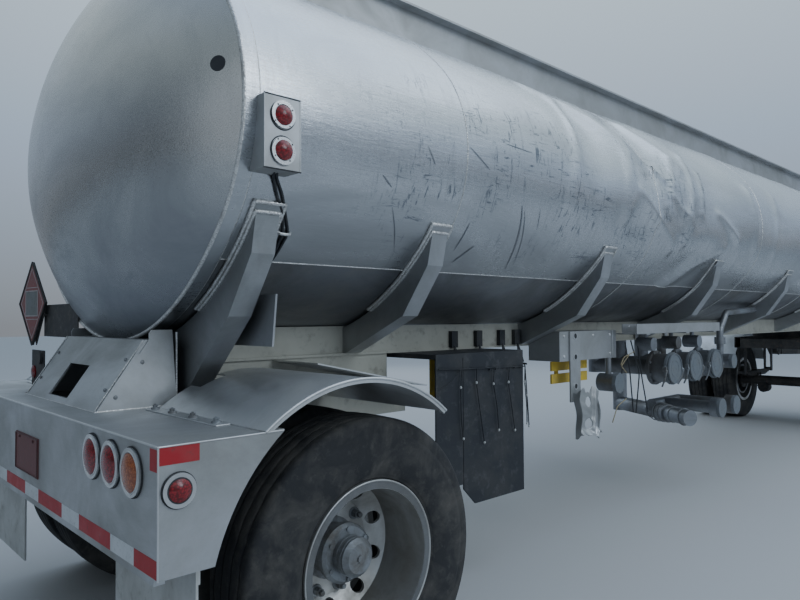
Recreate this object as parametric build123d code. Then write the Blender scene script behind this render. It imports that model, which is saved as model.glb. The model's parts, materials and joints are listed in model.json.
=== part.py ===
from build123d import *
import os
from math import asin, atan2, cos, degrees, pi, radians, sin, sqrt

# Two-axle full tank trailer for road fuel: oval aluminium tank on cradle arms, twin wheels,
# steered front dolly and drawbar. Millimetres, +X forward, +Y left, +Z up, ground at Z = 0.
# Stations are distances forward of the rear panel, heights are above the ground, and offsets
# are distances from the centreline.

# Whole trailer
trailer_length = 12280.0
trailer_width = 2590.0
seat_gap = 0.3
cut_past = 1.0

# Tank
tank_start = 360.0
tank_end = 10040.0
tank_height_centre = 2145.0
tank_half_width = 1092.0
tank_half_height = 825.0
tank_side_radius = 600.0
head_depth = 280.0
head_sizes = (1.0, 0.9, 0.72, 0.45, 0.15)
head_flange_width = 50.0
head_flange_height = 12.0

# Overturn rails along the crown, an open topped trough between them
rail_offset = 400.0
rail_thickness = 12.0
rail_rise = 138.0
rail_root = 90.0
rail_end_height = 10.0
rail_flange = 55.0
rail_start = 700.0
rail_end = 9700.0
rail_slope = 420.0
rail_tie_depth = 60.0
rail_tie_stations = (1500.0, 4000.0, 6500.0, 9000.0)

# Manholes in the crown, with hinged lids
manhole_stations = (2100.0, 5000.0, 7900.0)
manhole_radius = 255.0
manhole_wall = 8.0
manhole_rise = 60.0
manhole_root = 60.0
manhole_rim = 30.0
manhole_rim_thickness = 10.0
hinge_ear = 24.0
hinge_half_length = 110.0
hinge_radius = 9.0
hinge_wall = 5.0
hinge_lift = 16.0
lid_thickness = 14.0
lid_margin = 8.0
lid_dome_height = 22.0
lid_dome_foot = 60.0
lid_dome_top = 130.0

# Main frame
frame_offset = 350.0
frame_web = 10.0
frame_bottom = 1222.0
frame_flange_width = 90.0
frame_flange_thickness = 12.0
frame_flange_lip = 12.0
frame_start = 580.0
frame_end = 9850.0
subframe_end = 1650.0
beam_offset = 490.0
beam_start = 250.0
beam_bottom = 930.0
deck_plate = 6.0
crossmember_stations = (700.0, 1400.0, 2400.0, 3400.0, 5400.0, 6600.0, 8200.0)
crossmember_depth = 90.0
crossmember_width = 60.0
crossmember_wall = 6.0

# Cradle arms that hug the tank. Each outline is folded twice: offset, height of each corner
arm_stations = (470.0, 1351.0, 2800.0, 4400.0, 6000.0, 7600.0, 9100.0)
arm_width = 96.0
arm_top = (985.0, 1785.0)
arm_upper_fold = (952.0, 1640.0)
arm_lower_fold = (790.0, 1418.0)
arm_top_shelf = 200.0
first_arm_foot = (400.0, 250.0)
arm_foot_reach = 24.0
arm_web_height = 1900.0
pad_overhang = 16.0
pad_thickness = 8.0
pad_rise = 32.0
pad_inner = 560.0
gusset_station = 600.0
gusset_thickness = 8.0
gusset_inner = 352.0
gusset_foot = (880.0, 1305.0)
gusset_top = (905.0, 1500.0)

# Rear box, its deck and the sloped hood on it
box_height = 355.0
box_depth = 400.0
box_wall = 6.0
deck_height = 1068.0
box_lip_depth = 38.0
box_lip_drop = 24.0
box_lip_inset = 40.0
deck_lap = 30.0
hood_back = 120.0
hood_offset = 450.0
hood_top_station = 300.0
hood_top_length = 110.0
hood_front = 430.0
hood_rise = 262.0
hood_side_rise = 300.0
hood_side_setback = 25.0
hood_wall = 5.0
hood_notch_drop = 52.0
hood_notch_width = 16.0
hood_window_middle = 41.0
hood_window_width = 240.0
hood_window_low = 20.0
hood_window_high = 150.0

# Wheels, twin on each end of an axle
tyre_radius = 525.0
tyre_width = 262.0
tyre_flats = 36
tyre_shoulder_width = 26.0
tyre_shoulder_drop = 30.0
tyre_bulge_rise = 75.0
tyre_bead_step = 28.0
twin_spacing = 338.0
wheel_outer_face = 1179.0
rim_flange_radius = 298.5
rim_flange_width = 14.0
rim_bed_radius = 276.0
rim_wall = 11.0
disc_radius = 268.0
disc_thickness = 14.0
disc_dish = 48.0
disc_bore_radius = 118.0
disc_land_radius = 190.0
hand_hole_count = 10
hand_hole_radius = 27.0
hand_hole_circle = 226.0
hub_radius = 112.0
hub_length = 130.0
hub_step = 26.0
hub_waist = 16.0
hub_collar = 34.0
hub_chamfer = 12.0
hub_cap_radius = 72.0
hub_cap_length = 74.0
hub_cap_chamfer = 17.0
drum_radius = 205.0
drum_width = 190.0
drum_wall = 22.0
drum_step = 24.0
drum_to_axle = 4.0
hub_flange_thickness = 24.0
hub_seat_radius = 180.0
stud_circle = 167.5
stud_count = 10
stud_radius = 17.0
stud_length = 30.0

# Axles and springs
axle_station_rear = 840.0
axle_station_front = 9300.0
axle_height = 525.0
axle_radius = 63.5
spider_radius = 118.0
spider_thickness = 14.0
spindle_radius = 38.0
spindle_clearance = 1.0
chamber_offset = 330.0
chamber_drop = 95.0
chamber_radius = 68.0
chamber_back = 60.0
chamber_front = 70.0
chamber_post = 20.0
spring_offset = 440.0
spring_width = 76.0
spring_leaf = 13.0
spring_count = 5
spring_half_length = 520.0
spring_shortest = 0.42
spring_eye_inset = 30.0
hanger_half_width = 34.0
hanger_spread = 10.0
hanger_drop = 30.0
hanger_cap = 16.0
spring_pin_radius = 20.0
spring_clamp = 60.0

# Fenders
fender_radius = 625.0
fender_centre_back = 120.0
fender_centre_drop = 490.0
fender_front_angle = 50.0
fender_wall = 4.0
fender_inner_offset = 513.0
fender_lip = 14.0
fender_arm_notch = 590.0
fender_arm_gap = 8.0
arch_radius = 700.0
splash_start = (940.0, 1220.0)
splash_end = (1600.0, 1082.0)
splash_outer_offset = 700.0
front_fender_rise = 45.0
front_fender_gap = 34.0
front_fender_angles = (20.0, 160.0)
stay_radius = 17.0
stay_distance = 400.0
stay_inset = 20.0

# Lamps. Tail lamps on each side: amber outermost, then two red
lamp_offsets = (1099.0, 941.0, 782.0)
lamp_drop = 92.0
lamp_ring_radius = 70.0
lamp_ring_thickness = 10.0
lamp_lens_radius = 55.0
lamp_lens_rim = 16.0
lamp_lens_crown = 0.45
lamp_lens_reach = 24.0
marker_station = 58.0
marker_drop = 122.0
marker_ring_radius = 48.0
marker_ring_thickness = 8.0
marker_lens_radius = 32.0
marker_lens_reach = 18.0
shell_box_start = 400.0
shell_box_end = 540.0
shell_box_inner = 900.0
shell_box_low = 1900.0
shell_box_high = 2143.0
shell_box_outer = 1150.0
shell_lamp_radius = 46.0
shell_lens_radius = 33.0

# Plates that stay blank, and the lamp bracket on the left of the deck
plate_width = 305.0
plate_height = 152.0
plate_thickness = 4.0
plate_offset = -196.0
plate_drop = 190.0
placard_arm_station = 345.0
placard_arm_outer = 1000.0
placard_arm_low = 1320.0
placard_arm_high = 1490.0
placard_station = 325.0
placard_offset = 1075.0
placard_height = 1436.0
placard_half_width = 135.0
placard_half_height = 166.0
placard_thickness = 5.0
deck_lamp_station = 205.0
deck_lamp_bracket = (490.0, 690.0, 1262.0)
deck_lamp_black = (535.0, 1228.0)
deck_lamp_red = (650.0, 1154.0)
deck_lamp_radius = 32.0
deck_lamp_reach = 14.0

# Turntable and dolly
turntable_radius = 450.0
turntable_bore = 370.0
turntable_ring = 36.0
turntable_plate = 20.0
turntable_margin = 40.0
turntable_gap = 0.5
dolly_rail_depth = 140.0
dolly_rail_width = 80.0
dolly_rail_offset = 440.0
dolly_rail_wall = 8.0
dolly_half_length = 640.0
dolly_beam_width = 80.0
dolly_beam_places = (-640.0, -160.0, 80.0, 560.0)
dolly_end_plate = 10.0

# Drawbar, its pivots on the dolly, the towing eye and the parking leg
pivot_station = 10060.0
pivot_height = 900.0
pivot_radius = 24.5
pivot_pin_end = 8.0
bush_clearance = 0.4
bush_radius = 48.0
bush_width = 90.0
lug_thickness = 20.0
lug_rim = 14.0
lug_root = 60.0
lug_side_gap = 0.6
bar_depth = 110.0
bar_width = 80.0
neck_offset = 34.0
neck_block_back = 160.0
neck_block_front = 20.0
neck_block_half = 75.0
tie_share = 0.42
tie_half = 35.0
eye_bore = 38.1
eye_outer = 80.0
eye_thickness = 41.0
eye_height = 850.0
eye_chamfer = 12.0
eye_mouth = 8.0
eye_mouth_depth = 6.0
eye_shank_radius = 34.0
eye_shank_length = 296.0
eye_collar_radius = 62.0
eye_collar_length = 26.0
leg_station = 11300.0
leg_tube = 70.0
leg_wall = 8.0
leg_rise = 160.0
leg_outer_low = 330.0
leg_lap = 10.0
leg_bracket_gap = 40.0
leg_bracket_half = 60.0
leg_bracket_rise = 45.0
leg_foot = 220.0
leg_foot_thickness = 12.0
crank_radius = 11.0
crank_reach = 90.0
crank_drop = 50.0
crank_handle = 120.0

# Flaps
rear_flap_width = 610.0
rear_flap_thickness = 8.0
rear_flap_top = 700.0
rear_flap_bottom = 260.0
rear_flap_station = 150.0
rear_flap_angle = 6.0
rear_flap_lap = 60.0
rear_flap_shelf = 30.0
side_flap_offset = 669.0
side_flap_start = 1690.0
side_flap_split = 1895.0
side_flap_end = 2415.0
side_flap_gap = 2.0
side_flap_bottom_near = 540.0
side_flap_bottom_far = 425.0
side_flap_slant = 90.0
side_flap_thickness = 8.0
flap_bar_depth = 24.0
flap_bar_inner = 270.0
strap_stations = (2138.0, 2360.0, 2582.0, 2735.0)
strap_width = 52.0
strap_height = 96.0
strap_depth = 26.0

# Yellow guards and plain brackets on the right side
post_station = 1872.0
post_width = 62.0
post_offset = 450.0
post_thickness = 10.0
post_low = 950.0
guard_start = 2940.0
guard_end = 3365.0
guard_offset = 500.0
guard_depth = 62.0
guard_heights = (1058.0, 976.0)
guard_thickness = 12.0
hanger_post_start = 3007.0
hanger_post_end = 3125.0
hanger_post_thickness = 10.0
hanger_post_low = 860.0
hanger_hole_radius = 17.0
hanger_holes = (1285.0, 1150.0, 960.0)
torn_start = 3040.0
torn_end = 3260.0
torn_low = 645.0
torn_high = 930.0
torn_depth = 48.0
torn_wall = 5.0
torn_hole_radius = 34.0
torn_holes = (860.0, 720.0)

# Discharge manifold on the right side
outlet_stations = (4060.0, 4420.0, 4810.0)
outlet_height = 1030.0
outlet_reach = 780.0
outlet_pipe_radius = 57.0
outlet_body_radius = 105.0
outlet_body_length = 130.0
outlet_flange_rise = 22.0
outlet_cap_radius = 118.0
outlet_cap_thickness = 34.0
outlet_cap_step = 14.0
riser_offset = 170.0
riser_valve_rise = 60.0
vapour_station = 5190.0
vapour_radius = 40.0
vapour_cap_radius = 60.0
vapour_cap_thickness = 26.0
air_valve_stations = (3846.0, 4244.0, 4614.0)
air_valve_height = 1212.0
air_valve_radius = 48.0
air_valve_length = 120.0
air_valve_offset = 700.0
drain_height = 605.0
drain_inner = (5070.0, 180.0)
drain_outer = (4560.0, -700.0)
drain_radius = 62.0
drain_coupling_radius = 76.0
drain_coupling_length = 110.0
drain_coupling_share = 0.62
side_stub_station = 3497.0
side_stub_height = 955.0
side_stub_radius = 62.0
side_stub_offset = 660.0
side_cap_rim = 10.0
elbow_offset = 690.0
elbow_low = 1290.0
elbow_bend = (5330.0, 1440.0)
elbow_end_height = 1472.0
elbow_arm = 4
elbow_radius = 28.0
elbow_clamp_radius = 44.0
elbow_clamp_height = 60.0
elbow_bend_radius = 70.0
elbow_end_gap = 3.0
low_header_height = 660.0
low_header_offset = -300.0
low_header_start = 4720.0
low_pipe_radius = 50.0
low_outlet_stations = (4930.0, 5230.0)
low_flange_radius = 78.0
low_flange_length = 60.0
tray_start = 3560.0
tray_end = 4960.0
tray_low = 1290.0
tray_high = 1358.0
tray_wall = 5.0
tray_width = 110.0
tray_bracket_width = 50.0
tray_bracket_plate = 8.0
tray_bracket_stations = (3700.0, 4330.0, 4840.0)
valve_box_start = 2900.0
valve_box_end = 3590.0
valve_box_offset = 600.0
valve_box_low = 1125.0
valve_box_high = 1316.0
valve_box_wall = 5.0
valve_box_corner = 34.0

# Values that follow from those above
rear_reach = lamp_ring_thickness + lamp_lens_reach
shift = trailer_length / 2 - rear_reach
half_width = trailer_width / 2
marker_reach = marker_ring_thickness + marker_lens_reach
side_face = half_width - marker_reach
box_bottom = deck_height - box_height
tank_bottom = tank_height_centre - tank_half_height
tank_top = tank_height_centre + tank_half_height
rail_top = tank_top + rail_rise
collar_top = tank_top + manhole_rise
collar_lug = manhole_radius + manhole_rim
hinge_y = collar_lug + hinge_ear / 4
hinge_z = collar_top + hinge_lift
outer_tyre_centre = wheel_outer_face - tyre_width / 2
inner_tyre_centre = outer_tyre_centre - twin_spacing
mating_plane = (outer_tyre_centre + inner_tyre_centre) / 2
axle_end = inner_tyre_centre - drum_width / 2 - drum_to_axle
dolly_top = frame_bottom - 2 * seat_gap - turntable_plate - 2 * turntable_ring - turntable_gap
fender_station = axle_station_rear - fender_centre_back
front_fender_centre = axle_height + front_fender_rise
front_fender_radius = frame_bottom - front_fender_gap - front_fender_centre
neck_station = trailer_length - rear_reach - eye_outer - eye_shank_length
frame_side = frame_offset + frame_flange_lip + seat_gap
flange_top = frame_bottom + frame_flange_thickness
riser_top = tank_bottom + 2 * riser_valve_rise


def at(station):
    """X of a station measured forward from the rear panel."""
    return station - shift


def block(x_low, x_high, y_low, y_high, z_low, z_high):
    """A box between two corners."""
    size = (x_high - x_low, y_high - y_low, z_high - z_low)
    centre = ((x_low + x_high) / 2, (y_low + y_high) / 2, (z_low + z_high) / 2)
    return Pos(*centre) * Box(*size)


def mirrored(solid):
    """The left twin of a right piece, or the other way round."""
    return mirror(solid, about=Plane.XZ)


def both(solid):
    """A piece and its mirror image as two solids."""
    return [solid, mirrored(solid)]


def prism_x(points, x_low, x_high):
    """A polygon of (y, z) points carried along X."""
    face = make_face(Polyline([(x_low, y, z) for y, z in points], close=True))
    return extrude(face, amount=x_high - x_low, dir=(1, 0, 0))


def prism_y(points, y_low, y_high):
    """A polygon of (x, z) points carried along Y."""
    face = make_face(Polyline([(x, y_low, z) for x, z in points], close=True))
    return extrude(face, amount=y_high - y_low, dir=(0, 1, 0))


def rod_y(x, z, radius, y_low, y_high):
    """A round bar along Y."""
    return Pos(x, (y_low + y_high) / 2, z) * Rot(90, 0, 0) * Cylinder(radius, y_high - y_low)


def rod_x(y, z, radius, x_low, x_high):
    """A round bar along X."""
    return Pos((x_low + x_high) / 2, y, z) * Rot(0, 90, 0) * Cylinder(radius, x_high - x_low)


def rod_z(x, y, radius, z_low, z_high):
    """A round bar along Z."""
    return Pos(x, y, (z_low + z_high) / 2) * Cylinder(radius, z_high - z_low)


def rod_between(start, end, radius):
    """A round bar from one point to another."""
    a, b = Vector(*start), Vector(*end)
    along = b - a
    plane = Plane(origin=a, z_dir=along.normalized())
    return extrude(plane * Circle(radius), amount=along.length, dir=along.normalized())


def revolved(points):
    """A closed (y, radius) profile turned about the Y axis."""
    face = make_face(Polyline([(r, y, 0) for y, r in points], close=True))
    return revolve(face, axis=Axis.Y, revolution_arc=360)


def oval(x, grow=0.0, scale=1.0):
    """Tank section of four tangent arcs at X, grown by a wall or scaled about its centre."""
    a = (tank_half_width + grow) * scale
    b = (tank_half_height + grow) * scale
    r = (tank_side_radius + grow) * scale
    big = ((a - r) ** 2 + b ** 2 - r ** 2) / (2 * (b - r))
    turn = atan2(big - b, a - r)
    corner_y = a - r + r * cos(turn)
    corner_z = r * sin(turn)
    zc = tank_height_centre
    right = ThreePointArc((x, corner_y, zc - corner_z), (x, a, zc), (x, corner_y, zc + corner_z))
    crown = ThreePointArc((x, corner_y, zc + corner_z), (x, 0, zc + b), (x, -corner_y, zc + corner_z))
    left = ThreePointArc((x, -corner_y, zc + corner_z), (x, -a, zc), (x, -corner_y, zc - corner_z))
    belly = ThreePointArc((x, -corner_y, zc - corner_z), (x, 0, zc - b), (x, corner_y, zc - corner_z))
    return make_face(Wire([right, crown, left, belly]))


def oval_bar(x_low, x_high, grow=0.0):
    """A stretch of the tank section."""
    return extrude(oval(x_low, grow), amount=x_high - x_low, dir=(1, 0, 0))


def head(x, way, grow=0.0):
    """Dished end: shrinking ovals at a depth of one less the square of their size."""
    depth = head_depth + grow
    faces = [oval(x + way * depth * (1 - size ** 2), grow, size) for size in head_sizes]
    return loft(faces, ruled=True)


def ring(x_low, x_high, height):
    """A band that stands proud of the shell."""
    hole = oval_bar(x_low - cut_past, x_high + cut_past, seat_gap)
    return oval_bar(x_low, x_high, height + seat_gap) - hole


def make_tank_shell():
    body = oval_bar(at(tank_start), at(tank_end))
    return body + head(at(tank_start), -1) + head(at(tank_end), 1)


def make_tank_bands():
    """Flanges that join the heads to the shell."""
    rear = ring(at(tank_start), at(tank_start + head_flange_width), head_flange_height)
    front = ring(at(tank_end - head_flange_width), at(tank_end), head_flange_height)
    return [rear, front]


def make_clearance():
    """Everything the shell and its flanges fill, grown by the seating gap."""
    x0, x1 = at(tank_start), at(tank_end)
    proud = head_flange_height + 2 * seat_gap
    near = x0 + head_flange_width + seat_gap
    far = x1 - head_flange_width - seat_gap
    space = oval_bar(x0, x1, seat_gap) + head(x0, -1, seat_gap)
    return space + oval_bar(x0 - seat_gap, near, proud) + oval_bar(far, x1 + seat_gap, proud)


def make_overturn_rails(clearance):
    """Upright plates beside the manholes with sloped ends, outer flanges and cross ties."""
    low = tank_top - rail_root
    end_top = tank_top + rail_end_height
    x0, x1 = at(rail_start), at(rail_end)
    slope_end, slope_start = at(rail_start + rail_slope), at(rail_end - rail_slope)
    points = [(x0, low), (x0, end_top), (slope_end, rail_top), (slope_start, rail_top), (x1, end_top),
              (x1, low)]
    inner = rail_offset - rail_thickness
    plate = prism_y(points, inner, rail_offset)
    flange = block(slope_end, slope_start, rail_offset, rail_offset + rail_flange,
                   rail_top - rail_thickness, rail_top)
    rail = plate + flange
    rails = rail + mirrored(rail)
    for station in rail_tie_stations:
        x = at(station)
        rails = rails + block(x, x + rail_thickness, -inner, inner, rail_top - rail_tie_depth, rail_top)
    return rails - clearance


def make_manhole_collars():
    """Welded collars with a rim, and hinge ears with their pin."""
    collars = []
    under = collar_top - manhole_rim_thickness
    for station in manhole_stations:
        x = at(station)
        wall = rod_z(x, 0, manhole_radius, tank_top - manhole_root, collar_top)
        rim = rod_z(x, 0, collar_lug, under, collar_top)
        lug = block(x - hinge_half_length, x + hinge_half_length, collar_lug - manhole_rim,
                    collar_lug + hinge_ear, under, collar_top)
        collar = wall + rim + lug
        for way in (-1, 1):
            near, far = sorted((x + way * (hinge_half_length - hinge_ear), x + way * hinge_half_length))
            collar = collar + block(near, far, collar_lug - hinge_ear / 2, collar_lug + hinge_ear,
                                    under, hinge_z + hinge_radius + hinge_wall)
        collar = collar + rod_x(hinge_y, hinge_z, hinge_radius, x - hinge_half_length, x + hinge_half_length)
        bore = rod_z(x, 0, manhole_radius - manhole_wall, tank_top - 2 * manhole_root, rail_top)
        skin = oval_bar(x - tank_half_height, x + tank_half_height, seat_gap)
        collars.append(collar - bore - skin)
    return collars


def make_lid(station):
    """Domed lid with an arm that turns on the collar's pin."""
    x = at(station)
    base = collar_top + seat_gap
    top = base + lid_thickness
    radius = collar_lug - lid_margin
    half = hinge_half_length - hinge_ear - hinge_wall
    knuckle_radius = hinge_radius + hinge_wall
    lid = rod_z(x, 0, radius, base, top)
    dome = Cone(radius - lid_dome_foot, radius - lid_dome_top, lid_dome_height,
                align=(Align.CENTER, Align.CENTER, Align.MIN))
    lid = lid + Pos(x, 0, top) * dome
    arm_low = hinge_z - hinge_wall
    lid = lid + block(x - half, x + half, radius - lid_dome_foot, hinge_y, arm_low, hinge_z + knuckle_radius)
    lid = lid + block(x - half, x + half, radius - lid_dome_foot, radius - lid_margin, top - cut_past,
                      hinge_z)
    lid = lid + rod_x(hinge_y, hinge_z, knuckle_radius, x - half, x + half)
    return lid - rod_x(hinge_y, hinge_z, hinge_radius + seat_gap, x - half - cut_past, x + half + cut_past)


def make_frame_rails(clearance):
    """Two flanged rails welded under the tank, deeper above the rear axle."""
    outer = frame_offset
    inner = outer - frame_flange_width
    x0, x1, x2 = at(frame_start), at(frame_end), at(subframe_end)
    web = block(x0, x1, outer - frame_web, outer, frame_bottom, tank_height_centre)
    flange = block(x0, x1, inner, outer + frame_flange_lip, frame_bottom, flange_top)
    deep = block(x0, x2, inner, outer, deck_height + seat_gap, frame_bottom)
    hole = block(x0 - cut_past, x2 + cut_past, inner + frame_web, outer - frame_web,
                 deck_height + frame_web, frame_bottom - frame_web)
    rail = (web + flange + (deep - hole)) - clearance
    return both(rail)


def make_rear_beams():
    """Beams that carry the rear springs, from the rear box forward under the deck plate."""
    outer = beam_offset
    inner = outer - frame_flange_width
    top = deck_height - deck_plate - seat_gap
    x0, x1 = at(beam_start), at(subframe_end)
    beam = block(x0, x1, inner, outer, beam_bottom, top)
    hole = block(x0 - cut_past, x1 + cut_past, inner + frame_web, outer - frame_web,
                 beam_bottom + frame_web, top - frame_web)
    ahead = block(at(box_depth) + seat_gap, x1 + cut_past, 0, half_width, 0, tank_height_centre)
    return both((beam - hole) & (arch_cutter(-seat_gap) + ahead))


def make_crossmembers(clearance):
    members = []
    inner = frame_offset - frame_web - seat_gap
    low = frame_bottom + frame_flange_thickness + seat_gap
    wall = crossmember_wall
    for station in crossmember_stations:
        x = at(station)
        bar = block(x, x + crossmember_width, -inner, inner, low, low + crossmember_depth)
        hole = block(x + wall, x + crossmember_width - wall, -inner - cut_past, inner + cut_past,
                     low + wall, low + crossmember_depth - wall)
        members.append(bar - hole - clearance)
    return members


def arm_outline(index):
    """Corners of an arm: foot, the two folds, the top, and back down inside the tank."""
    if index == 0:
        foot = deck_height + seat_gap
        outer, inner = first_arm_foot
    else:
        foot = frame_bottom + frame_flange_thickness + seat_gap
        inner = frame_offset + seat_gap
        outer = inner + arm_foot_reach
    shelf = (arm_top[0] - arm_top_shelf, arm_top[1])
    return [(inner, foot), (outer, foot), arm_lower_fold, arm_upper_fold, arm_top, shelf,
            (inner, arm_web_height)]


def make_cradle_arms(side):
    """Twice folded box arms from the frame up round the tank, each with a pad plate on the shell."""
    arms = []
    for index, station in enumerate(arm_stations):
        x = at(station)
        arm = prism_x(arm_outline(index), x, x + arm_width)
        pad_low, pad_high = x - pad_overhang, x + arm_width + pad_overhang
        arm = arm - oval_bar(pad_low - cut_past, pad_high + cut_past, pad_thickness + seat_gap)
        reach = half_width
        zone = prism_x([(pad_inner, frame_bottom), (reach, frame_bottom), (reach, arm_top[1] + pad_rise),
                        (pad_inner, arm_top[1] + pad_rise)], pad_low, pad_high)
        arm = arm + (ring(pad_low, pad_high, pad_thickness) & zone)
        arms.append(arm if side > 0 else mirrored(arm))
    x = at(gusset_station)
    low = gusset_foot[1]
    corners = [(gusset_inner, low), gusset_foot, gusset_top, (gusset_inner, gusset_top[1])]
    gusset = prism_x(corners, x, x + gusset_thickness)
    gusset = gusset - oval_bar(x - cut_past, x + gusset_thickness + cut_past, seat_gap)
    arms.append(gusset if side > 0 else mirrored(gusset))
    return arms


def arch_cutter(grow=0.0):
    """Wheel arch cylinder about the rear axle."""
    reach = half_width + cut_past
    return rod_y(at(axle_station_rear), axle_height, arch_radius + grow, -reach, reach)


def make_rear_box():
    """Hollow cross box behind the wheels, cut to the wheel arch, with a lower lip and deck."""
    side, wall = side_face, box_wall
    outer = block(at(0), at(box_depth), -side, side, box_bottom, deck_height)
    inner = block(at(wall), at(box_depth - wall), -side + wall, side - wall, box_bottom + wall,
                  deck_height - wall)
    shell = outer - arch_cutter() - (inner - arch_cutter(wall))
    lip_reach = side - box_lip_inset
    lip = block(at(wall), at(box_lip_depth), -lip_reach, lip_reach, box_bottom - box_lip_drop, box_bottom)
    deck = block(at(box_depth - deck_lap), at(subframe_end), -beam_offset, beam_offset,
                 deck_height - deck_plate, deck_height)
    return shell + lip + deck


def make_box_hood(clearance):
    """Sloped cover on the deck with side plates, a corner notch and an open square window."""
    foot = deck_height + seat_gap
    top = deck_height + hood_rise
    x0, x1 = at(hood_back), at(hood_top_station)
    x2 = x1 + hood_top_length
    x3 = at(hood_front)
    wall = hood_wall
    hood = prism_y([(x0, foot), (x1, top), (x2, top), (x3, foot)], -hood_offset, hood_offset)
    inside = prism_y([(x0 + 2 * wall, foot - cut_past), (x1 + wall / 2, top - wall), (x2 - wall, top - wall),
                      (x3 - 2 * wall, foot - cut_past)], -hood_offset + wall, hood_offset - wall)
    side_top = deck_height + hood_side_rise
    plate = prism_y([(x0, foot), (x1, top), (x1 + hood_side_setback, side_top), (x2, side_top), (x3, foot)],
                    hood_offset, hood_offset + wall)
    hood = hood - inside + plate + mirrored(plate)
    notch_low = top - hood_notch_drop
    notch_x = x1 - (x1 - x0) * hood_notch_drop / hood_rise
    far_x = x1 + hood_notch_width
    notch = prism_y([(notch_x, notch_low), (notch_x + hood_notch_width, notch_low), (far_x, top),
                     (far_x, side_top), (notch_x, side_top)], hood_offset, hood_offset + 2 * wall)
    low, high = deck_height + hood_window_low, deck_height + hood_window_high
    middle, half = hood_window_middle, hood_window_width / 2
    window = block(x0, x1, middle - half, middle + half, low, high)
    return hood - notch - mirrored(notch) - window - clearance


def make_rear_lamps():
    """Ring flanges and domed lenses of the tail lamps and the side markers."""
    rings, reds, ambers = [], [], []
    z = deck_height - lamp_drop
    face = at(0) - seat_gap
    rim = face - lamp_lens_rim
    dome_length = rear_reach - seat_gap - lamp_lens_rim
    for side in (-1, 1):
        for offset, lenses in zip(lamp_offsets, (ambers, reds, reds)):
            y = side * offset
            ring_disc = rod_x(y, z, lamp_ring_radius, face - lamp_ring_thickness, face)
            rings.append(ring_disc - rod_x(y, z, lamp_lens_radius + seat_gap, rim, at(cut_past)))
            dome = Cone(lamp_lens_radius, lamp_lens_radius * lamp_lens_crown, dome_length,
                        align=(Align.CENTER, Align.CENTER, Align.MIN))
            lenses.append(rod_x(y, z, lamp_lens_radius, rim, face) + Pos(rim, y, z) * Rot(0, -90, 0) * dome)
        ring_disc, lens = side_lamp(at(marker_station), deck_height - marker_drop, side_face,
                                    marker_ring_radius, marker_lens_radius)
        rings.append(ring_disc if side > 0 else mirrored(ring_disc))
        reds.append(lens if side > 0 else mirrored(lens))
    return rings, reds, ambers


def side_lamp(x, z, wall, ring_radius, lens_radius):
    """A round lamp and its ring on a wall that faces left."""
    face = wall + seat_gap
    ring_disc = rod_y(x, z, ring_radius, face, wall + marker_ring_thickness)
    ring_disc = ring_disc - rod_y(x, z, lens_radius + seat_gap, wall, wall + marker_reach)
    return ring_disc, rod_y(x, z, lens_radius, face, wall + marker_reach)


def make_shell_boxes():
    """Lamp boxes on the tank sides, each with two red lamps."""
    boxes, rings, reds = [], [], []
    x0, x1 = at(shell_box_start), at(shell_box_end)
    quarter = (shell_box_high - shell_box_low) / 4
    box = block(x0, x1, shell_box_inner, shell_box_outer, shell_box_low, shell_box_high)
    box = box - oval_bar(x0 - cut_past, x1 + cut_past, head_flange_height + 2 * seat_gap)
    for z in (shell_box_low + quarter, shell_box_high - quarter):
        ring_disc, lens = side_lamp((x0 + x1) / 2, z, shell_box_outer, shell_lamp_radius, shell_lens_radius)
        rings.extend(both(ring_disc))
        reds.extend(both(lens))
    boxes.extend(both(box))
    return boxes, rings, reds


def fender_arc(x, z, radius, start_angle, end_angle):
    """Half-round guard on the right side between two angles, with a rolled outer lip."""
    inner_edge = -fender_inner_offset
    skin = rod_y(x, z, radius, -side_face, inner_edge)
    skin = skin - rod_y(x, z, radius - fender_wall, -side_face - cut_past, inner_edge + cut_past)
    lip = rod_y(x, z, radius, -side_face, -side_face + fender_lip)
    lip = lip - rod_y(x, z, radius - fender_lip, -side_face - cut_past, -side_face + fender_lip + cut_past)
    wedge = [(x, z)]
    steps = 4
    for step in range(steps + 1):
        angle = radians(start_angle + (end_angle - start_angle) * step / steps)
        wedge.append((x + 2 * radius * cos(angle), z + 2 * radius * sin(angle)))
    return (skin + lip) & prism_y(wedge, -half_width, half_width)


def make_rear_fenders():
    """Guards from the deck over the rear wheels, and the sloped splash sheets behind them."""
    x, z = at(fender_station), deck_height - fender_centre_drop
    end_angle = 180 - degrees(asin(fender_centre_drop / fender_radius))
    guard = fender_arc(x, z, fender_radius, fender_front_angle, end_angle)
    edge = x + fender_radius * cos(radians(end_angle))
    low = deck_height + seat_gap
    guard = guard + block(edge, at(box_depth) - fender_wall, -side_face, -fender_inner_offset, low,
                          low + fender_wall)
    guard = guard - block(at(0), at(box_depth) + cut_past, -half_width, 0, 0, low)
    arm = at(arm_stations[0])
    guard = guard - block(arm - fender_arm_gap, arm + arm_width + fender_arm_gap, -fender_arm_notch, 0,
                          deck_height, tank_bottom)
    (x0, z0), (x1, z1) = splash_start, splash_end
    sheet = prism_y([(at(x0), z0), (at(x0), z0 - deck_plate), (at(x1), z1 - deck_plate), (at(x1), z1)],
                    -splash_outer_offset, -frame_offset - seat_gap)
    return both(guard) + both(sheet)


def make_front_fenders():
    """Guards over the front wheels on round stays from the dolly rails."""
    x, z, radius = at(axle_station_front), front_fender_centre, front_fender_radius
    guard = fender_arc(x, z, radius, *front_fender_angles)
    reach = radius - fender_wall - stay_radius + cut_past
    stay_z = z + sqrt(reach ** 2 - stay_distance ** 2)
    inner = -(dolly_rail_offset + dolly_rail_width / 2 + seat_gap)
    for way in (-1, 1):
        guard = guard + rod_y(x + way * stay_distance, stay_z, stay_radius, -side_face + stay_inset, inner)
    return both(guard)


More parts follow.
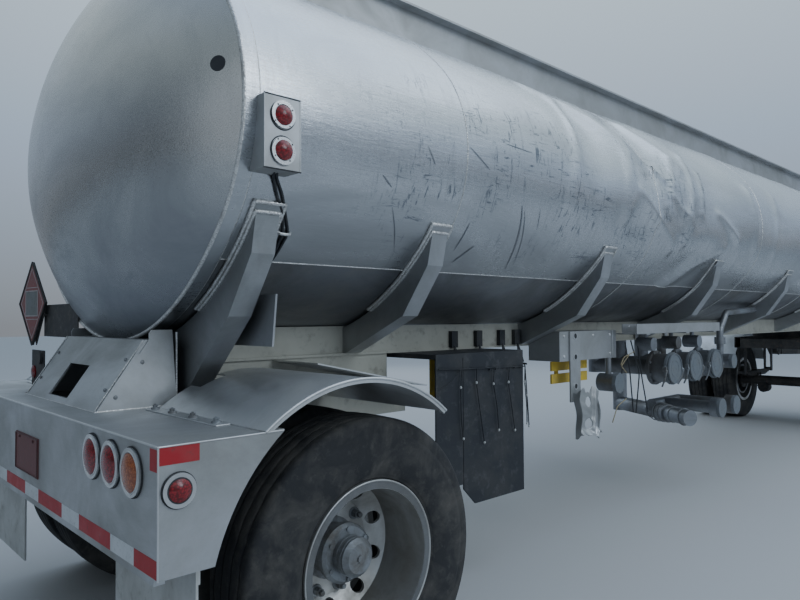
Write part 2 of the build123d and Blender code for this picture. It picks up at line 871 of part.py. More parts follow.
def make_tyre(y_centre):
    """A tyre turned in flats: tread, tapered shoulders, and sidewalls cut back to the beads."""
    flats = cos(pi / tyre_flats)
    half = tyre_width / 2
    tread = half - tyre_shoulder_width
    narrow = half - tyre_bead_step - seat_gap
    bead = (rim_flange_radius + seat_gap) / flats
    shoulder = tyre_radius - tyre_shoulder_drop
    tyre = extrude(flat_ring(y_centre - tread, tyre_radius), amount=2 * tread, dir=(0, 1, 0))
    for way in (-1, 1):
        side = y_centre + way * half
        tyre = tyre + flat_band(y_centre + way * tread, tyre_radius, side, shoulder)
        tyre = tyre - flat_band(side, bead + tyre_bulge_rise, y_centre + way * narrow, bead)
    hole = flat_ring(y_centre - half, (rim_bed_radius + seat_gap) / flats)
    return tyre - extrude(hole, amount=tyre_width, dir=(0, 1, 0))


def flat_band(wide_y, wide_radius, small_y, small_radius):
    """A many-sided piece square to Y that narrows from its wide end to its small end."""
    inset = (wide_radius - small_radius) * cos(pi / tyre_flats)
    length = abs(small_y - wide_y)
    way = (small_y - wide_y) / length
    slope = degrees(atan2(inset, length))
    return extrude(flat_ring(wide_y, wide_radius), amount=length, dir=(0, way, 0), taper=slope)


def flat_ring(y, radius):
    """A many-sided section square to Y, standing on one of its corners."""
    plane = Plane(origin=(0, y, 0), x_dir=(0, 0, -1), z_dir=(0, 1, 0))
    return plane * RegularPolygon(radius, tyre_flats)


def make_wheel_disc(y_centre, way):
    """Rim and dished disc whose mounting face lies on the twins' common plane.

    Places are measured from the rim's middle towards the pair's own open side.
    """
    half = tyre_width / 2 - tyre_bead_step
    edge = half + rim_flange_width
    bed, cut, top = rim_bed_radius, rim_bed_radius - rim_wall, rim_flange_radius
    face = way * (mating_plane - y_centre)
    rim = [(-edge, cut), (-edge, top), (-half, top), (-half, bed), (half, bed), (half, top), (edge, top),
           (edge, cut)]
    near, far = face + seat_gap / 2, face + disc_thickness
    disc = [(near, disc_bore_radius), (near, disc_land_radius), (near + disc_dish, disc_radius),
            (far + disc_dish, disc_radius), (far, disc_land_radius), (far, disc_bore_radius)]
    wheel = revolved([(y_centre + way * u, r) for u, r in rim])
    wheel = wheel + revolved([(y_centre + way * u, r) for u, r in disc])
    reach = disc_dish + 2 * disc_thickness
    for index in range(hand_hole_count):
        angle = 2 * pi * (index + 0.5) / hand_hole_count
        hx, hz = hand_hole_circle * cos(angle), hand_hole_circle * sin(angle)
        wheel = wheel - rod_y(hx, hz, hand_hole_radius, mating_plane - reach, mating_plane + reach)
    return wheel


def make_hub():
    """Hub barrel, nuts on their studs, oil cap and brake drum on the +Y side, bored for the spindle."""
    seat = mating_plane - disc_thickness - seat_gap
    face = mating_plane + disc_thickness
    end = face + hub_length
    cap_end = end + hub_cap_length
    bore = spindle_radius + spindle_clearance
    pilot = disc_bore_radius - seat_gap
    shoulder = seat - drum_step
    flange = shoulder - hub_flange_thickness
    drum_in = axle_end + drum_to_axle
    drum_inner = drum_radius - drum_wall
    step = face + hub_step
    waist = hub_radius - hub_waist
    collar = end - hub_collar
    rim, cap_rim = end - hub_chamfer, cap_end - hub_cap_chamfer
    drum_side = [(flange, bore), (flange, drum_inner), (drum_in, drum_inner), (drum_in, drum_radius)]
    seat_side = [(shoulder, drum_radius), (shoulder, hub_seat_radius), (seat, hub_seat_radius), (seat, pilot)]
    barrel = [(step, pilot), (step, waist), (collar, waist), (collar, hub_radius), (rim, hub_radius)]
    nose = [(end, hub_radius - hub_chamfer), (end, hub_cap_radius), (cap_rim, hub_cap_radius)]
    tip = [(cap_end, hub_cap_radius - hub_cap_chamfer), (cap_end, 0), (end + spindle_clearance, 0)]
    points = drum_side + seat_side + barrel + nose + tip + [(end + spindle_clearance, bore)]
    return revolved(points)


def make_studs():
    """Six-sided nuts of a pair, seated on the outer disc about the hub."""
    studs = []
    face = mating_plane + disc_thickness + seat_gap
    for index in range(stud_count):
        angle = 2 * pi * index / stud_count
        plane = Plane(origin=(stud_circle * cos(angle), face, stud_circle * sin(angle)), z_dir=(0, 1, 0))
        studs.append(extrude(plane * RegularPolygon(stud_radius, 6), amount=stud_length, dir=(0, 1, 0)))
    return studs


def make_axle():
    """Axle tube with spiders, spindles and brake chambers, about the origin's Y axis."""
    reach = mating_plane + hub_length
    axle = rod_y(0, 0, axle_radius, -axle_end, axle_end) + rod_y(0, 0, spindle_radius, -reach, reach)
    for side in (-1, 1):
        low, high = sorted((side * (axle_end - spider_thickness), side * axle_end))
        y = side * chamber_offset
        axle = axle + rod_y(0, 0, spider_radius, low, high)
        axle = axle + rod_x(y, -chamber_drop, chamber_radius, -chamber_back, chamber_front)
        axle = axle + block(-chamber_post, chamber_post, y - chamber_post, y + chamber_post, -chamber_drop, 0)
    return axle


def make_springs(top):
    """Leaf packs on the axle with hangers up to a beam at a height, about the axle's centre."""
    packs = []
    seat = axle_radius + seat_gap
    eye_z = seat + spring_count * spring_leaf
    limit = top - seat_gap
    for side in (-1, 1):
        y0, y1 = side * spring_offset - spring_width / 2, side * spring_offset + spring_width / 2
        outer0, outer1 = y0 - hanger_spread, y1 + hanger_spread
        pack = block(-spring_clamp, spring_clamp, y0, y1, eye_z, eye_z + hanger_cap)
        for leaf in range(spring_count):
            share = spring_shortest + (1 - spring_shortest) * (leaf + 1) / spring_count
            half = spring_half_length * share
            z = seat + leaf * spring_leaf
            pack = pack + block(-half, half, y0, y1, z, z + spring_leaf)
        for end in (-1, 1):
            x = end * (spring_half_length - spring_eye_inset)
            foot, crown = hanger_half_width, hanger_half_width + hanger_spread
            outline = [(x - foot, eye_z - hanger_drop), (x + foot, eye_z - hanger_drop), (x + crown, limit),
                       (x - crown, limit)]
            pack = pack + prism_y(outline, outer0, y0) + prism_y(outline, y1, outer1)
            pack = pack + block(x - crown, x + crown, outer0, outer1, limit - hanger_cap, limit)
            pack = pack + rod_y(x, eye_z, spring_pin_radius, outer0, outer1)
        packs.append(pack)
    return packs


def make_turntable_upper():
    """Mounting plate and upper race of the turntable under the frame rails."""
    x = at(axle_station_front)
    half = turntable_radius + turntable_margin
    top = frame_bottom - seat_gap
    low = top - turntable_plate
    plate = block(x - half, x + half, -beam_offset, beam_offset, low, top)
    race = rod_z(x, 0, turntable_radius, low - turntable_ring, low)
    return plate + race - rod_z(x, 0, turntable_bore, low - turntable_ring - cut_past, top + cut_past)


def make_turntable_lower():
    """Lower race of the turntable, bolted to the dolly."""
    x = at(axle_station_front)
    low = dolly_top + seat_gap
    top = low + turntable_ring
    return rod_z(x, 0, turntable_radius, low, top) - rod_z(x, 0, turntable_bore, low - cut_past,
                                                           top + cut_past)


def make_dolly_frame():
    """Rails, cross beams, ring plate and drawbar lugs of the steered dolly."""
    x = at(axle_station_front)
    top, low = dolly_top, dolly_top - dolly_rail_depth
    half, wall = dolly_half_length, dolly_rail_wall
    plate_half = turntable_radius + turntable_margin
    frame = block(x - plate_half, x + plate_half, -dolly_rail_offset, dolly_rail_offset,
                  top - turntable_plate, top)
    frame = frame - rod_z(x, 0, turntable_bore, top - turntable_plate - cut_past, top + cut_past)
    for side in (-1, 1):
        middle = side * dolly_rail_offset
        y0, y1 = middle - dolly_rail_width / 2, middle + dolly_rail_width / 2
        rail = block(x - half, x + half, y0, y1, low, top)
        hole = block(x - half - cut_past, x + half + cut_past, y0 + wall, y1 - wall, low + wall, top - wall)
        frame = frame + (rail - hole)
    inner = dolly_rail_offset - dolly_rail_width / 2
    for place in dolly_beam_places:
        frame = frame + block(x + place, x + place + dolly_beam_width, -inner, inner, low,
                              top - turntable_plate)
    for side in (-1, 1):
        frame = frame + make_pivot_lugs(side, x + half, low, top)
    return frame


def make_pivot_lugs(side, rail_end_x, low, top):
    """Two lugs with a pin across them on an end plate of one dolly rail."""
    front, z = at(pivot_station), pivot_height
    rise = bush_radius + lug_rim
    y = side * dolly_rail_offset
    gap = bush_width / 2 + lug_side_gap
    reach = gap + lug_thickness
    start = rail_end_x - lug_root
    outline = [(start, low), (front, z - rise), (front + rise, z - rise / 2), (front + rise, z + rise / 2),
               (front, z + rise), (start, top - lug_rim)]
    lugs = rod_y(front, z, pivot_radius, y - reach - pivot_pin_end, y + reach + pivot_pin_end)
    for way in (-1, 1):
        y0, y1 = sorted((y + way * gap, y + way * reach))
        lugs = lugs + prism_y(outline, y0, y1)
    return lugs + block(rail_end_x, rail_end_x + dolly_end_plate, y - reach, y + reach, low, top)


def tube_between(start, end, width, depth):
    """A rectangular tube from one point to the next, solid inside, with level sides."""
    a, b = Vector(*start), Vector(*end)
    along = b - a
    plane = Plane(origin=a, x_dir=Vector(0, 0, 1).cross(along).normalized(), z_dir=along.normalized())
    return extrude(plane * Rectangle(width, depth), amount=along.length, dir=along.normalized())


def along_drawbar(x):
    """Share of the way from the pivots to the neck at an X."""
    start, end = at(pivot_station), at(neck_station)
    return (x - start) / (end - start)


def drawbar_height_at(x):
    """Height of the drawbar's middle line at an X."""
    return pivot_height + (eye_height - pivot_height) * along_drawbar(x)


def drawbar_offset_at(x):
    """Distance of an arm's middle line from the centreline at an X."""
    return dolly_rail_offset + (neck_offset - dolly_rail_offset) * along_drawbar(x)


def leg_side_offset():
    """Y of the parking leg, outside the right arm of the drawbar."""
    return -drawbar_offset_at(at(leg_station)) - bar_width / 2 - leg_tube / 2 - leg_bracket_gap


def make_drawbar():
    """A-shaped drawbar with pivot bushes, a cross tie and a block at the neck."""
    x0, z0, neck = at(pivot_station), pivot_height, at(neck_station)
    reach = dolly_rail_offset
    bar = None
    for side in (-1, 1):
        y = side * dolly_rail_offset
        near, far = y - bush_width / 2, y + bush_width / 2
        arm = tube_between((x0 + bush_radius / 2, y, z0), (neck, side * neck_offset, eye_height),
                           bar_width, bar_depth)
        arm = arm + rod_y(x0, z0, bush_radius, near, far)
        arm = arm - rod_y(x0, z0, pivot_radius + bush_clearance, y - reach, y + reach)
        past = x0 + bush_radius + lug_rim + bar_depth / 2
        for y0, y1 in ((y - reach, near), (far, y + reach)):
            arm = arm - block(x0 - reach, past, y0, y1, z0 - reach, z0 + reach)
        bar = arm if bar is None else bar + arm
    tie_x = x0 + (neck - x0) * tie_share
    tie_y, tie_z = drawbar_offset_at(tie_x), drawbar_height_at(tie_x)
    bar = bar + block(tie_x - tie_half, tie_x + tie_half, -tie_y, tie_y, tie_z - tie_half, tie_z + tie_half)
    bar = bar + block(neck - neck_block_back, neck + neck_block_front, -neck_block_half, neck_block_half,
                      eye_height - bar_depth / 2, eye_height + bar_depth / 2)
    leg_x = at(leg_station)
    leg_z = drawbar_height_at(leg_x)
    return bar + block(leg_x - leg_bracket_half, leg_x + leg_bracket_half,
                       leg_side_offset() + leg_tube / 2 + seat_gap, -drawbar_offset_at(leg_x),
                       leg_z - leg_bracket_rise, leg_z + leg_bracket_rise)


def make_eye():
    """Towing eye with a cylindrical bore, a rounded rim and its shank."""
    centre, z = trailer_length / 2 - eye_outer, eye_height
    half = eye_thickness / 2
    mouth, inner_edge, outer_edge = half - eye_mouth_depth, eye_bore + eye_mouth, eye_outer - eye_chamfer
    upper = [(eye_outer, half - eye_chamfer), (outer_edge, half), (inner_edge, half), (eye_bore, mouth)]
    points = upper + [(r, -h) for r, h in reversed(upper)]
    face = make_face(Polyline([(r, 0, h) for r, h in points], close=True))
    loop = Pos(centre, 0, z) * revolve(face, axis=Axis.Z, revolution_arc=360)
    start = at(neck_station) + neck_block_front + seat_gap
    shank = rod_x(0, z, eye_shank_radius, start, centre - (inner_edge + outer_edge) / 2)
    return loop + shank + rod_x(0, z, eye_collar_radius, start, start + eye_collar_length)


def make_leg():
    """Parking leg clamped to the drawbar, standing on the ground on a square foot."""
    x, y = at(leg_station), leg_side_offset()
    top = drawbar_height_at(x) + leg_rise
    half = leg_tube / 2
    small = half - leg_wall
    foot = leg_foot / 2
    leg = block(x - half, x + half, y - half, y + half, leg_outer_low, top)
    leg = leg + block(x - small, x + small, y - small, y + small, leg_foot_thickness, leg_outer_low + leg_lap)
    leg = leg + block(x - foot, x + foot, y - foot, y + foot, 0, leg_foot_thickness)
    end, crank_z = y - half - crank_reach, top - crank_drop
    leg = leg + rod_y(x, crank_z, crank_radius, end, y)
    return leg + block(x - crank_radius, x + crank_radius, end, end + crank_radius, crank_z - crank_handle,
                       crank_z)


def make_rear_flaps():
    """Pale flaps behind the rear wheels, on angles under the rear box."""
    flaps = []
    x = at(rear_flap_station)
    front = x + rear_flap_thickness
    back_of_angle = front + rear_flap_angle
    under = box_bottom - seat_gap
    half = rear_flap_width / 2
    for side in (-1, 1):
        y0, y1 = side * mating_plane - half, side * mating_plane + half
        flap = block(x, front, y0, y1, rear_flap_bottom, rear_flap_top)
        angle = block(front, back_of_angle, y0, y1, rear_flap_top - rear_flap_lap, under)
        shelf = block(x - rear_flap_shelf, back_of_angle, y0, y1, under - rear_flap_angle, under)
        flaps.append(flap + angle + shelf)
    return flaps


def make_side_flaps():
    """Two black sheets a side ahead of the rear wheels on a bar, and the straps on the right rail."""
    sheets = []
    x0, x1, x2 = at(side_flap_start), at(side_flap_split), at(side_flap_end)
    top = frame_bottom - seat_gap
    y0, y1 = side_flap_offset - side_flap_thickness / 2, side_flap_offset + side_flap_thickness / 2
    near_low, far_low = side_flap_bottom_near, side_flap_bottom_far
    near = prism_y([(x0, top), (x1 - side_flap_gap, top), (x1 - side_flap_gap, near_low), (x0, near_low)],
                   y0, y1)
    x1 = x1 + side_flap_gap
    far = prism_y([(x1, top), (x2, top), (x2, far_low), (x1 + side_flap_slant, far_low),
                   (x1, far_low + side_flap_slant)], y0, y1)
    bar = block(x0, x2, flap_bar_inner, y1, top - flap_bar_depth, top)
    sheets.extend(both(near + far + bar))
    low = frame_bottom + frame_flange_thickness + seat_gap
    side = -frame_offset - seat_gap
    for station in strap_stations:
        x = at(station)
        sheets.append(block(x, x + strap_width, side - strap_depth, side, low, low + strap_height))
    return sheets


def make_yellow_guards():
    """A post that hangs from the flap bar, and two guard bars under the valve box."""
    x = at(post_station)
    top = frame_bottom - 2 * seat_gap - flap_bar_depth
    post = block(x, x + post_width, -post_offset - post_thickness, -post_offset, post_low, top)
    x0, x1 = at(guard_start), at(guard_end)
    y = -guard_offset
    bars = None
    for place in (x0 + guard_depth, x1 - 2 * guard_depth):
        hanger = block(place, place + guard_depth / 2, y, y + guard_thickness, min(guard_heights),
                       valve_box_low - seat_gap)
        bars = hanger if bars is None else bars + hanger
    for z in guard_heights:
        bars = bars + block(x0, x1, y - guard_thickness, y, z, z + guard_depth)
    return [post, bars]


def make_hanger_brackets():
    """A drilled flat post on the valve box, and the bent bracket with two holes that hangs from it."""
    x0, x1 = at(hanger_post_start), at(hanger_post_end)
    y1 = -valve_box_offset - seat_gap
    y0 = y1 - hanger_post_thickness
    post = block(x0, x1, y0, y1, hanger_post_low, valve_box_high)
    middle = (x0 + x1) / 2
    for z in hanger_holes:
        post = post - rod_y(middle, z, hanger_hole_radius, y0 - cut_past, y1 + cut_past)
    front = y0 - seat_gap
    left, right = at(torn_start), at(torn_end)
    outer = front - torn_depth
    bracket = block(left, right, outer, front, torn_low, torn_high)
    bracket = bracket - block(left + torn_wall, right - torn_wall, outer + torn_wall, front + cut_past,
                              torn_low - cut_past, torn_high + cut_past)
    for z in torn_holes:
        bracket = bracket - rod_y((left + right) / 2, z, torn_hole_radius, outer - cut_past, front)
    return [post, bracket]


def make_manifold(clearance):
    """Discharge pipes from the belly out to the right, each with a riser, a valve and an outlet body."""
    inner = -riser_offset
    body_end = -outlet_reach + outlet_body_length
    pieces = []
    for station in outlet_stations:
        x = at(station)
        pipe = rod_y(x, outlet_height, outlet_pipe_radius, body_end, inner)
        riser = rod_z(x, inner, outlet_pipe_radius, outlet_height - outlet_pipe_radius, riser_top)
        valve = rod_z(x, inner, outlet_pipe_radius + riser_valve_rise, riser_top - riser_valve_rise,
                      riser_top)
        body = rod_y(x, outlet_height, outlet_body_radius, -outlet_reach, body_end)
        flange_radius = outlet_body_radius + outlet_flange_rise
        flange = rod_y(x, outlet_height, flange_radius, body_end - outlet_flange_rise, body_end)
        pieces.append(pipe + riser + valve + body + flange - clearance)
    pieces.append(make_vapour_pipe(clearance))
    pieces.append(make_drain() - clearance)
    pieces.extend(make_air_valves())
    return pieces


def make_vapour_pipe(clearance):
    """Vapour pipe with its small outlet, and the vent pipe that bends forward under the belly."""
    x, z, r = at(vapour_station), outlet_height, vapour_radius
    riser = rod_z(x, -riser_offset, r, z - r, riser_top) - clearance
    pipe = rod_y(x, z, r, -outlet_reach, -riser_offset) + riser
    pipe = pipe + rod_y(x, z, vapour_cap_radius, -outlet_reach, -outlet_reach + vapour_cap_radius)
    y = -elbow_offset
    bend_x, bend_z = at(elbow_bend[0]), elbow_bend[1]
    end_x = at(arm_stations[elbow_arm]) - elbow_end_gap
    route = FilletPolyline((x, y, z), (x, y, elbow_low), (bend_x, y, bend_z), (end_x, y, elbow_end_height),
                           radius=elbow_bend_radius)
    vent = sweep(Plane(origin=route @ 0, z_dir=route % 0) * Circle(elbow_radius), path=route)
    clamp = rod_z(x, y, elbow_clamp_radius, elbow_low - 2 * elbow_clamp_height,
                  elbow_low - elbow_clamp_height)
    return pipe + vent + clamp


def make_drain():
    """Low drain pipe with its coupling, its riser, and a header with two low outlets."""
    z = drain_height
    (x0, y0), (x1, y1) = drain_inner, drain_outer
    start, end = Vector(at(x0), y0, z), Vector(at(x1), y1, z)
    along = (end - start).normalized()
    near = start + along * ((end - start).length * drain_coupling_share)
    far = near + along * drain_coupling_length
    drain = rod_between(start, end, drain_radius)
    drain = drain + rod_between(near, far, drain_coupling_radius)
    drain = drain + rod_z(at(x0), y0, drain_radius, z - drain_radius, riser_top)
    low = low_header_height
    first, last = at(low_outlet_stations[0]), at(low_outlet_stations[-1])
    drain = drain + rod_x(low_header_offset, low, low_pipe_radius, at(low_header_start), last)
    for x in (first, last):
        drain = drain + rod_y(x, low, low_pipe_radius, -outlet_reach, low_header_offset)
        drain = drain + rod_y(x, low, low_flange_radius, -outlet_reach, -outlet_reach + low_flange_length)
    return drain


def make_air_valves():
    """Small valves under the tray, and the capped stub under the valve box."""
    pieces = []
    y = -air_valve_offset
    half = air_valve_length / 2
    for station in air_valve_stations:
        x = at(station)
        valve = rod_y(x, air_valve_height, air_valve_radius, y - half, y + half)
        neck = air_valve_radius / 3
        pieces.append(valve + rod_z(x, y, neck, air_valve_height, tray_low - seat_gap))
    x, z, r = at(side_stub_station), side_stub_height, side_stub_radius
    stub = rod_y(x, z, r, -side_stub_offset, -side_stub_offset + 2 * r)
    pieces.append(stub + rod_z(x, -side_stub_offset + r, r / 3, z, valve_box_low - seat_gap))
    return pieces


def make_caps():
    """Stepped dust caps on the outlets, and the eight-sided cap of the side stub."""
    caps = []
    face = -outlet_reach - seat_gap
    for station in outlet_stations:
        x = at(station)
        step = face - outlet_cap_thickness + outlet_cap_step
        cap = rod_y(x, outlet_height, outlet_cap_radius, step, face)
        caps.append(cap + rod_y(x, outlet_height, outlet_cap_radius - outlet_cap_step,
                                face - outlet_cap_thickness, step))
    x = at(vapour_station)
    caps.append(rod_y(x, outlet_height, vapour_cap_radius, face - vapour_cap_thickness, face))
    for station in low_outlet_stations:
        caps.append(rod_y(at(station), low_header_height, low_flange_radius, face - vapour_cap_thickness,
                          face))
    end = -side_stub_offset - seat_gap
    plane = Plane(origin=(at(side_stub_station), end, side_stub_height), z_dir=(0, -1, 0))
    octagon = plane * RegularPolygon(side_stub_radius + side_cap_rim, 8)
    caps.append(extrude(octagon, amount=vapour_cap_thickness, dir=(0, -1, 0)))
    return caps


def make_tray():
    """Channel tray above the outlets with its brackets off the frame rail."""
    y0, y1 = -outlet_reach, -outlet_reach + tray_width
    x0, x1 = at(tray_start), at(tray_end)
    wall = tray_wall
    tray = block(x0, x1, y0, y1, tray_low, tray_high)
    tray = tray - block(x0 - cut_past, x1 + cut_past, y0 + wall, y1 - wall, tray_low + wall,
                        tray_high + cut_past)
    under = tray_low - tray_bracket_plate
    for station in tray_bracket_stations:
        x = at(station)
        front = x + tray_bracket_width
        tray = tray + block(x, front, y0, -frame_side, under, tray_low)
        tray = tray + block(x, front, -frame_side - tray_bracket_plate, -frame_side, flange_top, tray_low)
    return tray


def make_valve_box():
    """Panelled box on the frame rail with a corner angle, open underneath."""
    x0, x1 = at(valve_box_start), at(valve_box_end)
    y0, y1 = -valve_box_offset, -frame_side
    wall = valve_box_wall
    shell = block(x0, x1, y0, y1, valve_box_low, valve_box_high)
    shell = shell - block(x0 + wall, x1 - wall, y0 + wall, y1 - wall, valve_box_low + wall,
                          valve_box_high - wall)
    corner = valve_box_corner
    angle = block(x1, x1 + wall, y0 - wall, y0 + corner, valve_box_low, valve_box_high)
    return shell + angle + block(x1 - corner, x1, y0 - wall, y0, valve_box_low, valve_box_high)


def make_plate():
    """Blank number plate on the rear panel."""
    x = at(0) - seat_gap
    z = deck_height - plate_drop
    return block(x - plate_thickness, x, plate_offset, plate_offset + plate_width, z - plate_height / 2,
                 z + plate_height / 2)


def make_left_placard(clearance):
    """Blank diamond plate on a black arm beside the hood, and the lamp bracket on the deck."""
    x, hood_side = at(placard_arm_station), hood_offset + hood_wall + seat_gap
    thickness = placard_thickness
    arm = block(x, x + thickness, hood_side, placard_arm_outer, placard_arm_low, placard_arm_high) - clearance
    y, z = placard_offset, placard_height
    across, rise = placard_half_width, placard_half_height
    x1 = at(placard_station)
    diamond = prism_x([(y - across, z), (y, z - rise), (y + across, z), (y, z + rise)], x1, x1 + thickness)
    arm = arm + diamond + block(x1, x + thickness, y - across, placard_arm_outer, z - thickness,
                                z + thickness)
    (y0, y1, top), x2 = deck_lamp_bracket, at(deck_lamp_station)
    bracket = block(x2, x2 + thickness, y0, y1, deck_height + seat_gap, top)
    bracket = bracket + block(x2, x2 + thickness * thickness, y0, y1, deck_height + seat_gap,
                              deck_height + seat_gap + thickness)
    dark_y, dark_z = deck_lamp_black
    bracket = bracket + rod_x(dark_y, dark_z, deck_lamp_radius, x2 - deck_lamp_reach, x2)
    return [arm, bracket]


def make_deck_lamp():
    """Red lens of the small lamp on the left of the deck."""
    y, z = deck_lamp_red
    x = at(deck_lamp_station) - seat_gap
    return rod_x(y, z, deck_lamp_radius, x - deck_lamp_reach, x)


def place(solids, station, side):
    """Wheel pieces moved to their axle, mirrored for the right side."""
    result = []
    for solid in solids:
        turned = solid if side > 0 else mirrored(solid)
        result.append(Pos(at(station), 0, axle_height) * turned)
    return result


def on_axle(solids, station):
    """Pieces drawn about an axle's centre, moved to their axle."""
    return [Pos(at(station), 0, axle_height) * solid for solid in solids]


def save(name, pieces):
    """Write one node."""
    shape = pieces if not isinstance(pieces, list) else Compound(children=pieces)
    export_step(shape, os.path.join("parts", name + ".step"))


def main():
    os.makedirs("parts", exist_ok=True)
    clearance = make_clearance()
    rings, reds, ambers = make_rear_lamps()
    boxes, box_rings, box_reds = make_shell_boxes()
    save("tank_shell", make_tank_shell())
    save("tank_bands", make_tank_bands())
    save("overturn_rails", make_overturn_rails(clearance))
    save("manhole_collars", make_manhole_collars())
    for number, station in enumerate(manhole_stations, 1):
        save("manhole_lid_%d" % number, make_lid(station))
    save("cradle_arms_right", make_cradle_arms(-1))
    save("cradle_arms_left", make_cradle_arms(1))
    save("frame_rails", make_frame_rails(clearance))
    save("rear_beams", make_rear_beams())
    save("frame_crossmembers", make_crossmembers(clearance))
    save("rear_box", make_rear_box())
    save("box_hood", make_box_hood(clearance))
    save("lamp_rings", rings + box_rings)
    save("lenses_red", reds + box_reds + [make_deck_lamp()])
    save("lenses_amber", ambers)
    save("shell_lamp_boxes", boxes)
    save("rear_plate", make_plate())
    save("left_placard", make_left_placard(clearance))
    save("rear_fenders", make_rear_fenders())
    save("rear_flaps", make_rear_flaps())
    save("side_flaps", make_side_flaps())
    save("yellow_guards", make_yellow_guards())
    save("hanger_brackets", make_hanger_brackets())
    save("discharge_pipes", make_manifold(clearance))
    save("outlet_caps", make_caps())
    save("pipe_tray", make_tray())
    save("valve_box", make_valve_box())
    save("turntable_upper", make_turntable_upper())
    axle = make_axle()
    save("rear_axle", on_axle([axle], axle_station_rear))
    save("rear_springs", on_axle(make_springs(beam_bottom - axle_height), axle_station_rear))
    save("turntable_lower", make_turntable_lower())
    save("dolly_frame", make_dolly_frame())
    save("front_axle", on_axle([axle], axle_station_front))
    rail_bottom = dolly_top - dolly_rail_depth
    save("front_springs", on_axle(make_springs(rail_bottom - axle_height), axle_station_front))
    save("front_fenders", make_front_fenders())
    save("drawbar_frame", make_drawbar())
    save("drawbar_eye", make_eye())
    save("drawbar_leg", make_leg())
    tyres = [make_tyre(outer_tyre_centre), make_tyre(inner_tyre_centre)]
    discs = [make_wheel_disc(outer_tyre_centre, 1), make_wheel_disc(inner_tyre_centre, -1)]
    hub = [make_hub()] + make_studs()
    for axle_name, station in (("rear", axle_station_rear), ("front", axle_station_front)):
        for side_name, side in (("right", -1), ("left", 1)):
            stem = axle_name + "_" + side_name
            save(stem + "_tyres", place(tyres, station, side))
            save(stem + "_discs", place(discs, station, side))
            save(stem + "_hub", place(hub, station, side))


main()
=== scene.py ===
"""Looks of an old fuel tank trailer, built around its fixed frame.

Lengths are metres in the trailer's own frame: +X forward, +Y left, +Z up, ground at zero.
Stations are distances forward of the rear panel, as in the shop drawings of the part.
"""
import json
import logging
import math
from collections.abc import Sequence
from dataclasses import dataclass
from enum import Enum

import bmesh
import bpy
import numpy as np
from mathutils import Matrix, Vector


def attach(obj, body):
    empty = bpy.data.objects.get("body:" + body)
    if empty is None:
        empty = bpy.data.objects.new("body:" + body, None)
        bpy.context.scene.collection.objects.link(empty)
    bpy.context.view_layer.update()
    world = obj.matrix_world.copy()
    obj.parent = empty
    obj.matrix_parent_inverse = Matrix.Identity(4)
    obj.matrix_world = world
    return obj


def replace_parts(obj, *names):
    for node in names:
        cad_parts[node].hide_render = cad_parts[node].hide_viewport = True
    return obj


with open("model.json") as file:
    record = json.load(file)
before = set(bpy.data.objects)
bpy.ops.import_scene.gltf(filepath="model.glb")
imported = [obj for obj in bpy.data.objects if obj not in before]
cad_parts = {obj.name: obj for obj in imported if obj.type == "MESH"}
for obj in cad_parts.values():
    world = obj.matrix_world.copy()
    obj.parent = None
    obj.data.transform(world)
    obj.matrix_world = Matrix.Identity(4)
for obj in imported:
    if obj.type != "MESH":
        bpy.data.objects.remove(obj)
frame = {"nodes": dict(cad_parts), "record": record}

LOG = logging.getLogger("trailer")
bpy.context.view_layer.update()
# Stations, heights and distances from the middle that several pieces share
REAR_SHIFT = 6.106
DECK = 1.068
SIDE_FACE = 1.269
AXLE_REAR = 0.840
AXLE_FRONT = 9.300
AXLE_HEIGHT = 0.525
LAMPS = (1.099, 0.941, 0.782)
LAMP_HEIGHT = DECK - 0.092
MARKER_STATION = 0.058
MARKER_HEIGHT = DECK - 0.122
SHELL_LAMP = 0.470
POST_STATION = 3.066
POST_HOLES = (1.285, 1.150, 0.960)
Array = np.ndarray
Socket = bpy.types.NodeSocket
Triple = tuple[float, float, float]
Profile = tuple[tuple[float, float], ...]


def at(station: float) -> float:
    """X of a station measured forward from the rear panel."""
    return station - REAR_SHIFT


class Side(Enum):
    """Which side of the middle line a piece is on."""

    RIGHT = -1
    LEFT = 1


class Graph:
    """A node tree with short calls for nodes and links."""

    def __init__(self, tree: bpy.types.NodeTree) -> None:
        """Take over a tree and empty it."""
        self.nodes, self.links = tree.nodes, tree.links
        self.nodes.clear()

    def feed(self, socket: Socket, value: object) -> None:
        """Link a socket to another node's output, or set its constant."""
        if isinstance(value, Socket):
            self.links.new(value, socket)
        else:
            socket.default_value = value

    def node(self, kind: str, **values: object) -> bpy.types.Node:
        """Add a shader node.

        Args:
            kind: its type, without the common first part.
            values: links or constants of its inputs, named with underscores for spaces.

        Returns:
            The node.
        """
        node = self.nodes.new(f"ShaderNode{kind}")
        for name, value in values.items():
            self.feed(node.inputs[name.replace("_", " ")], value)
        return node


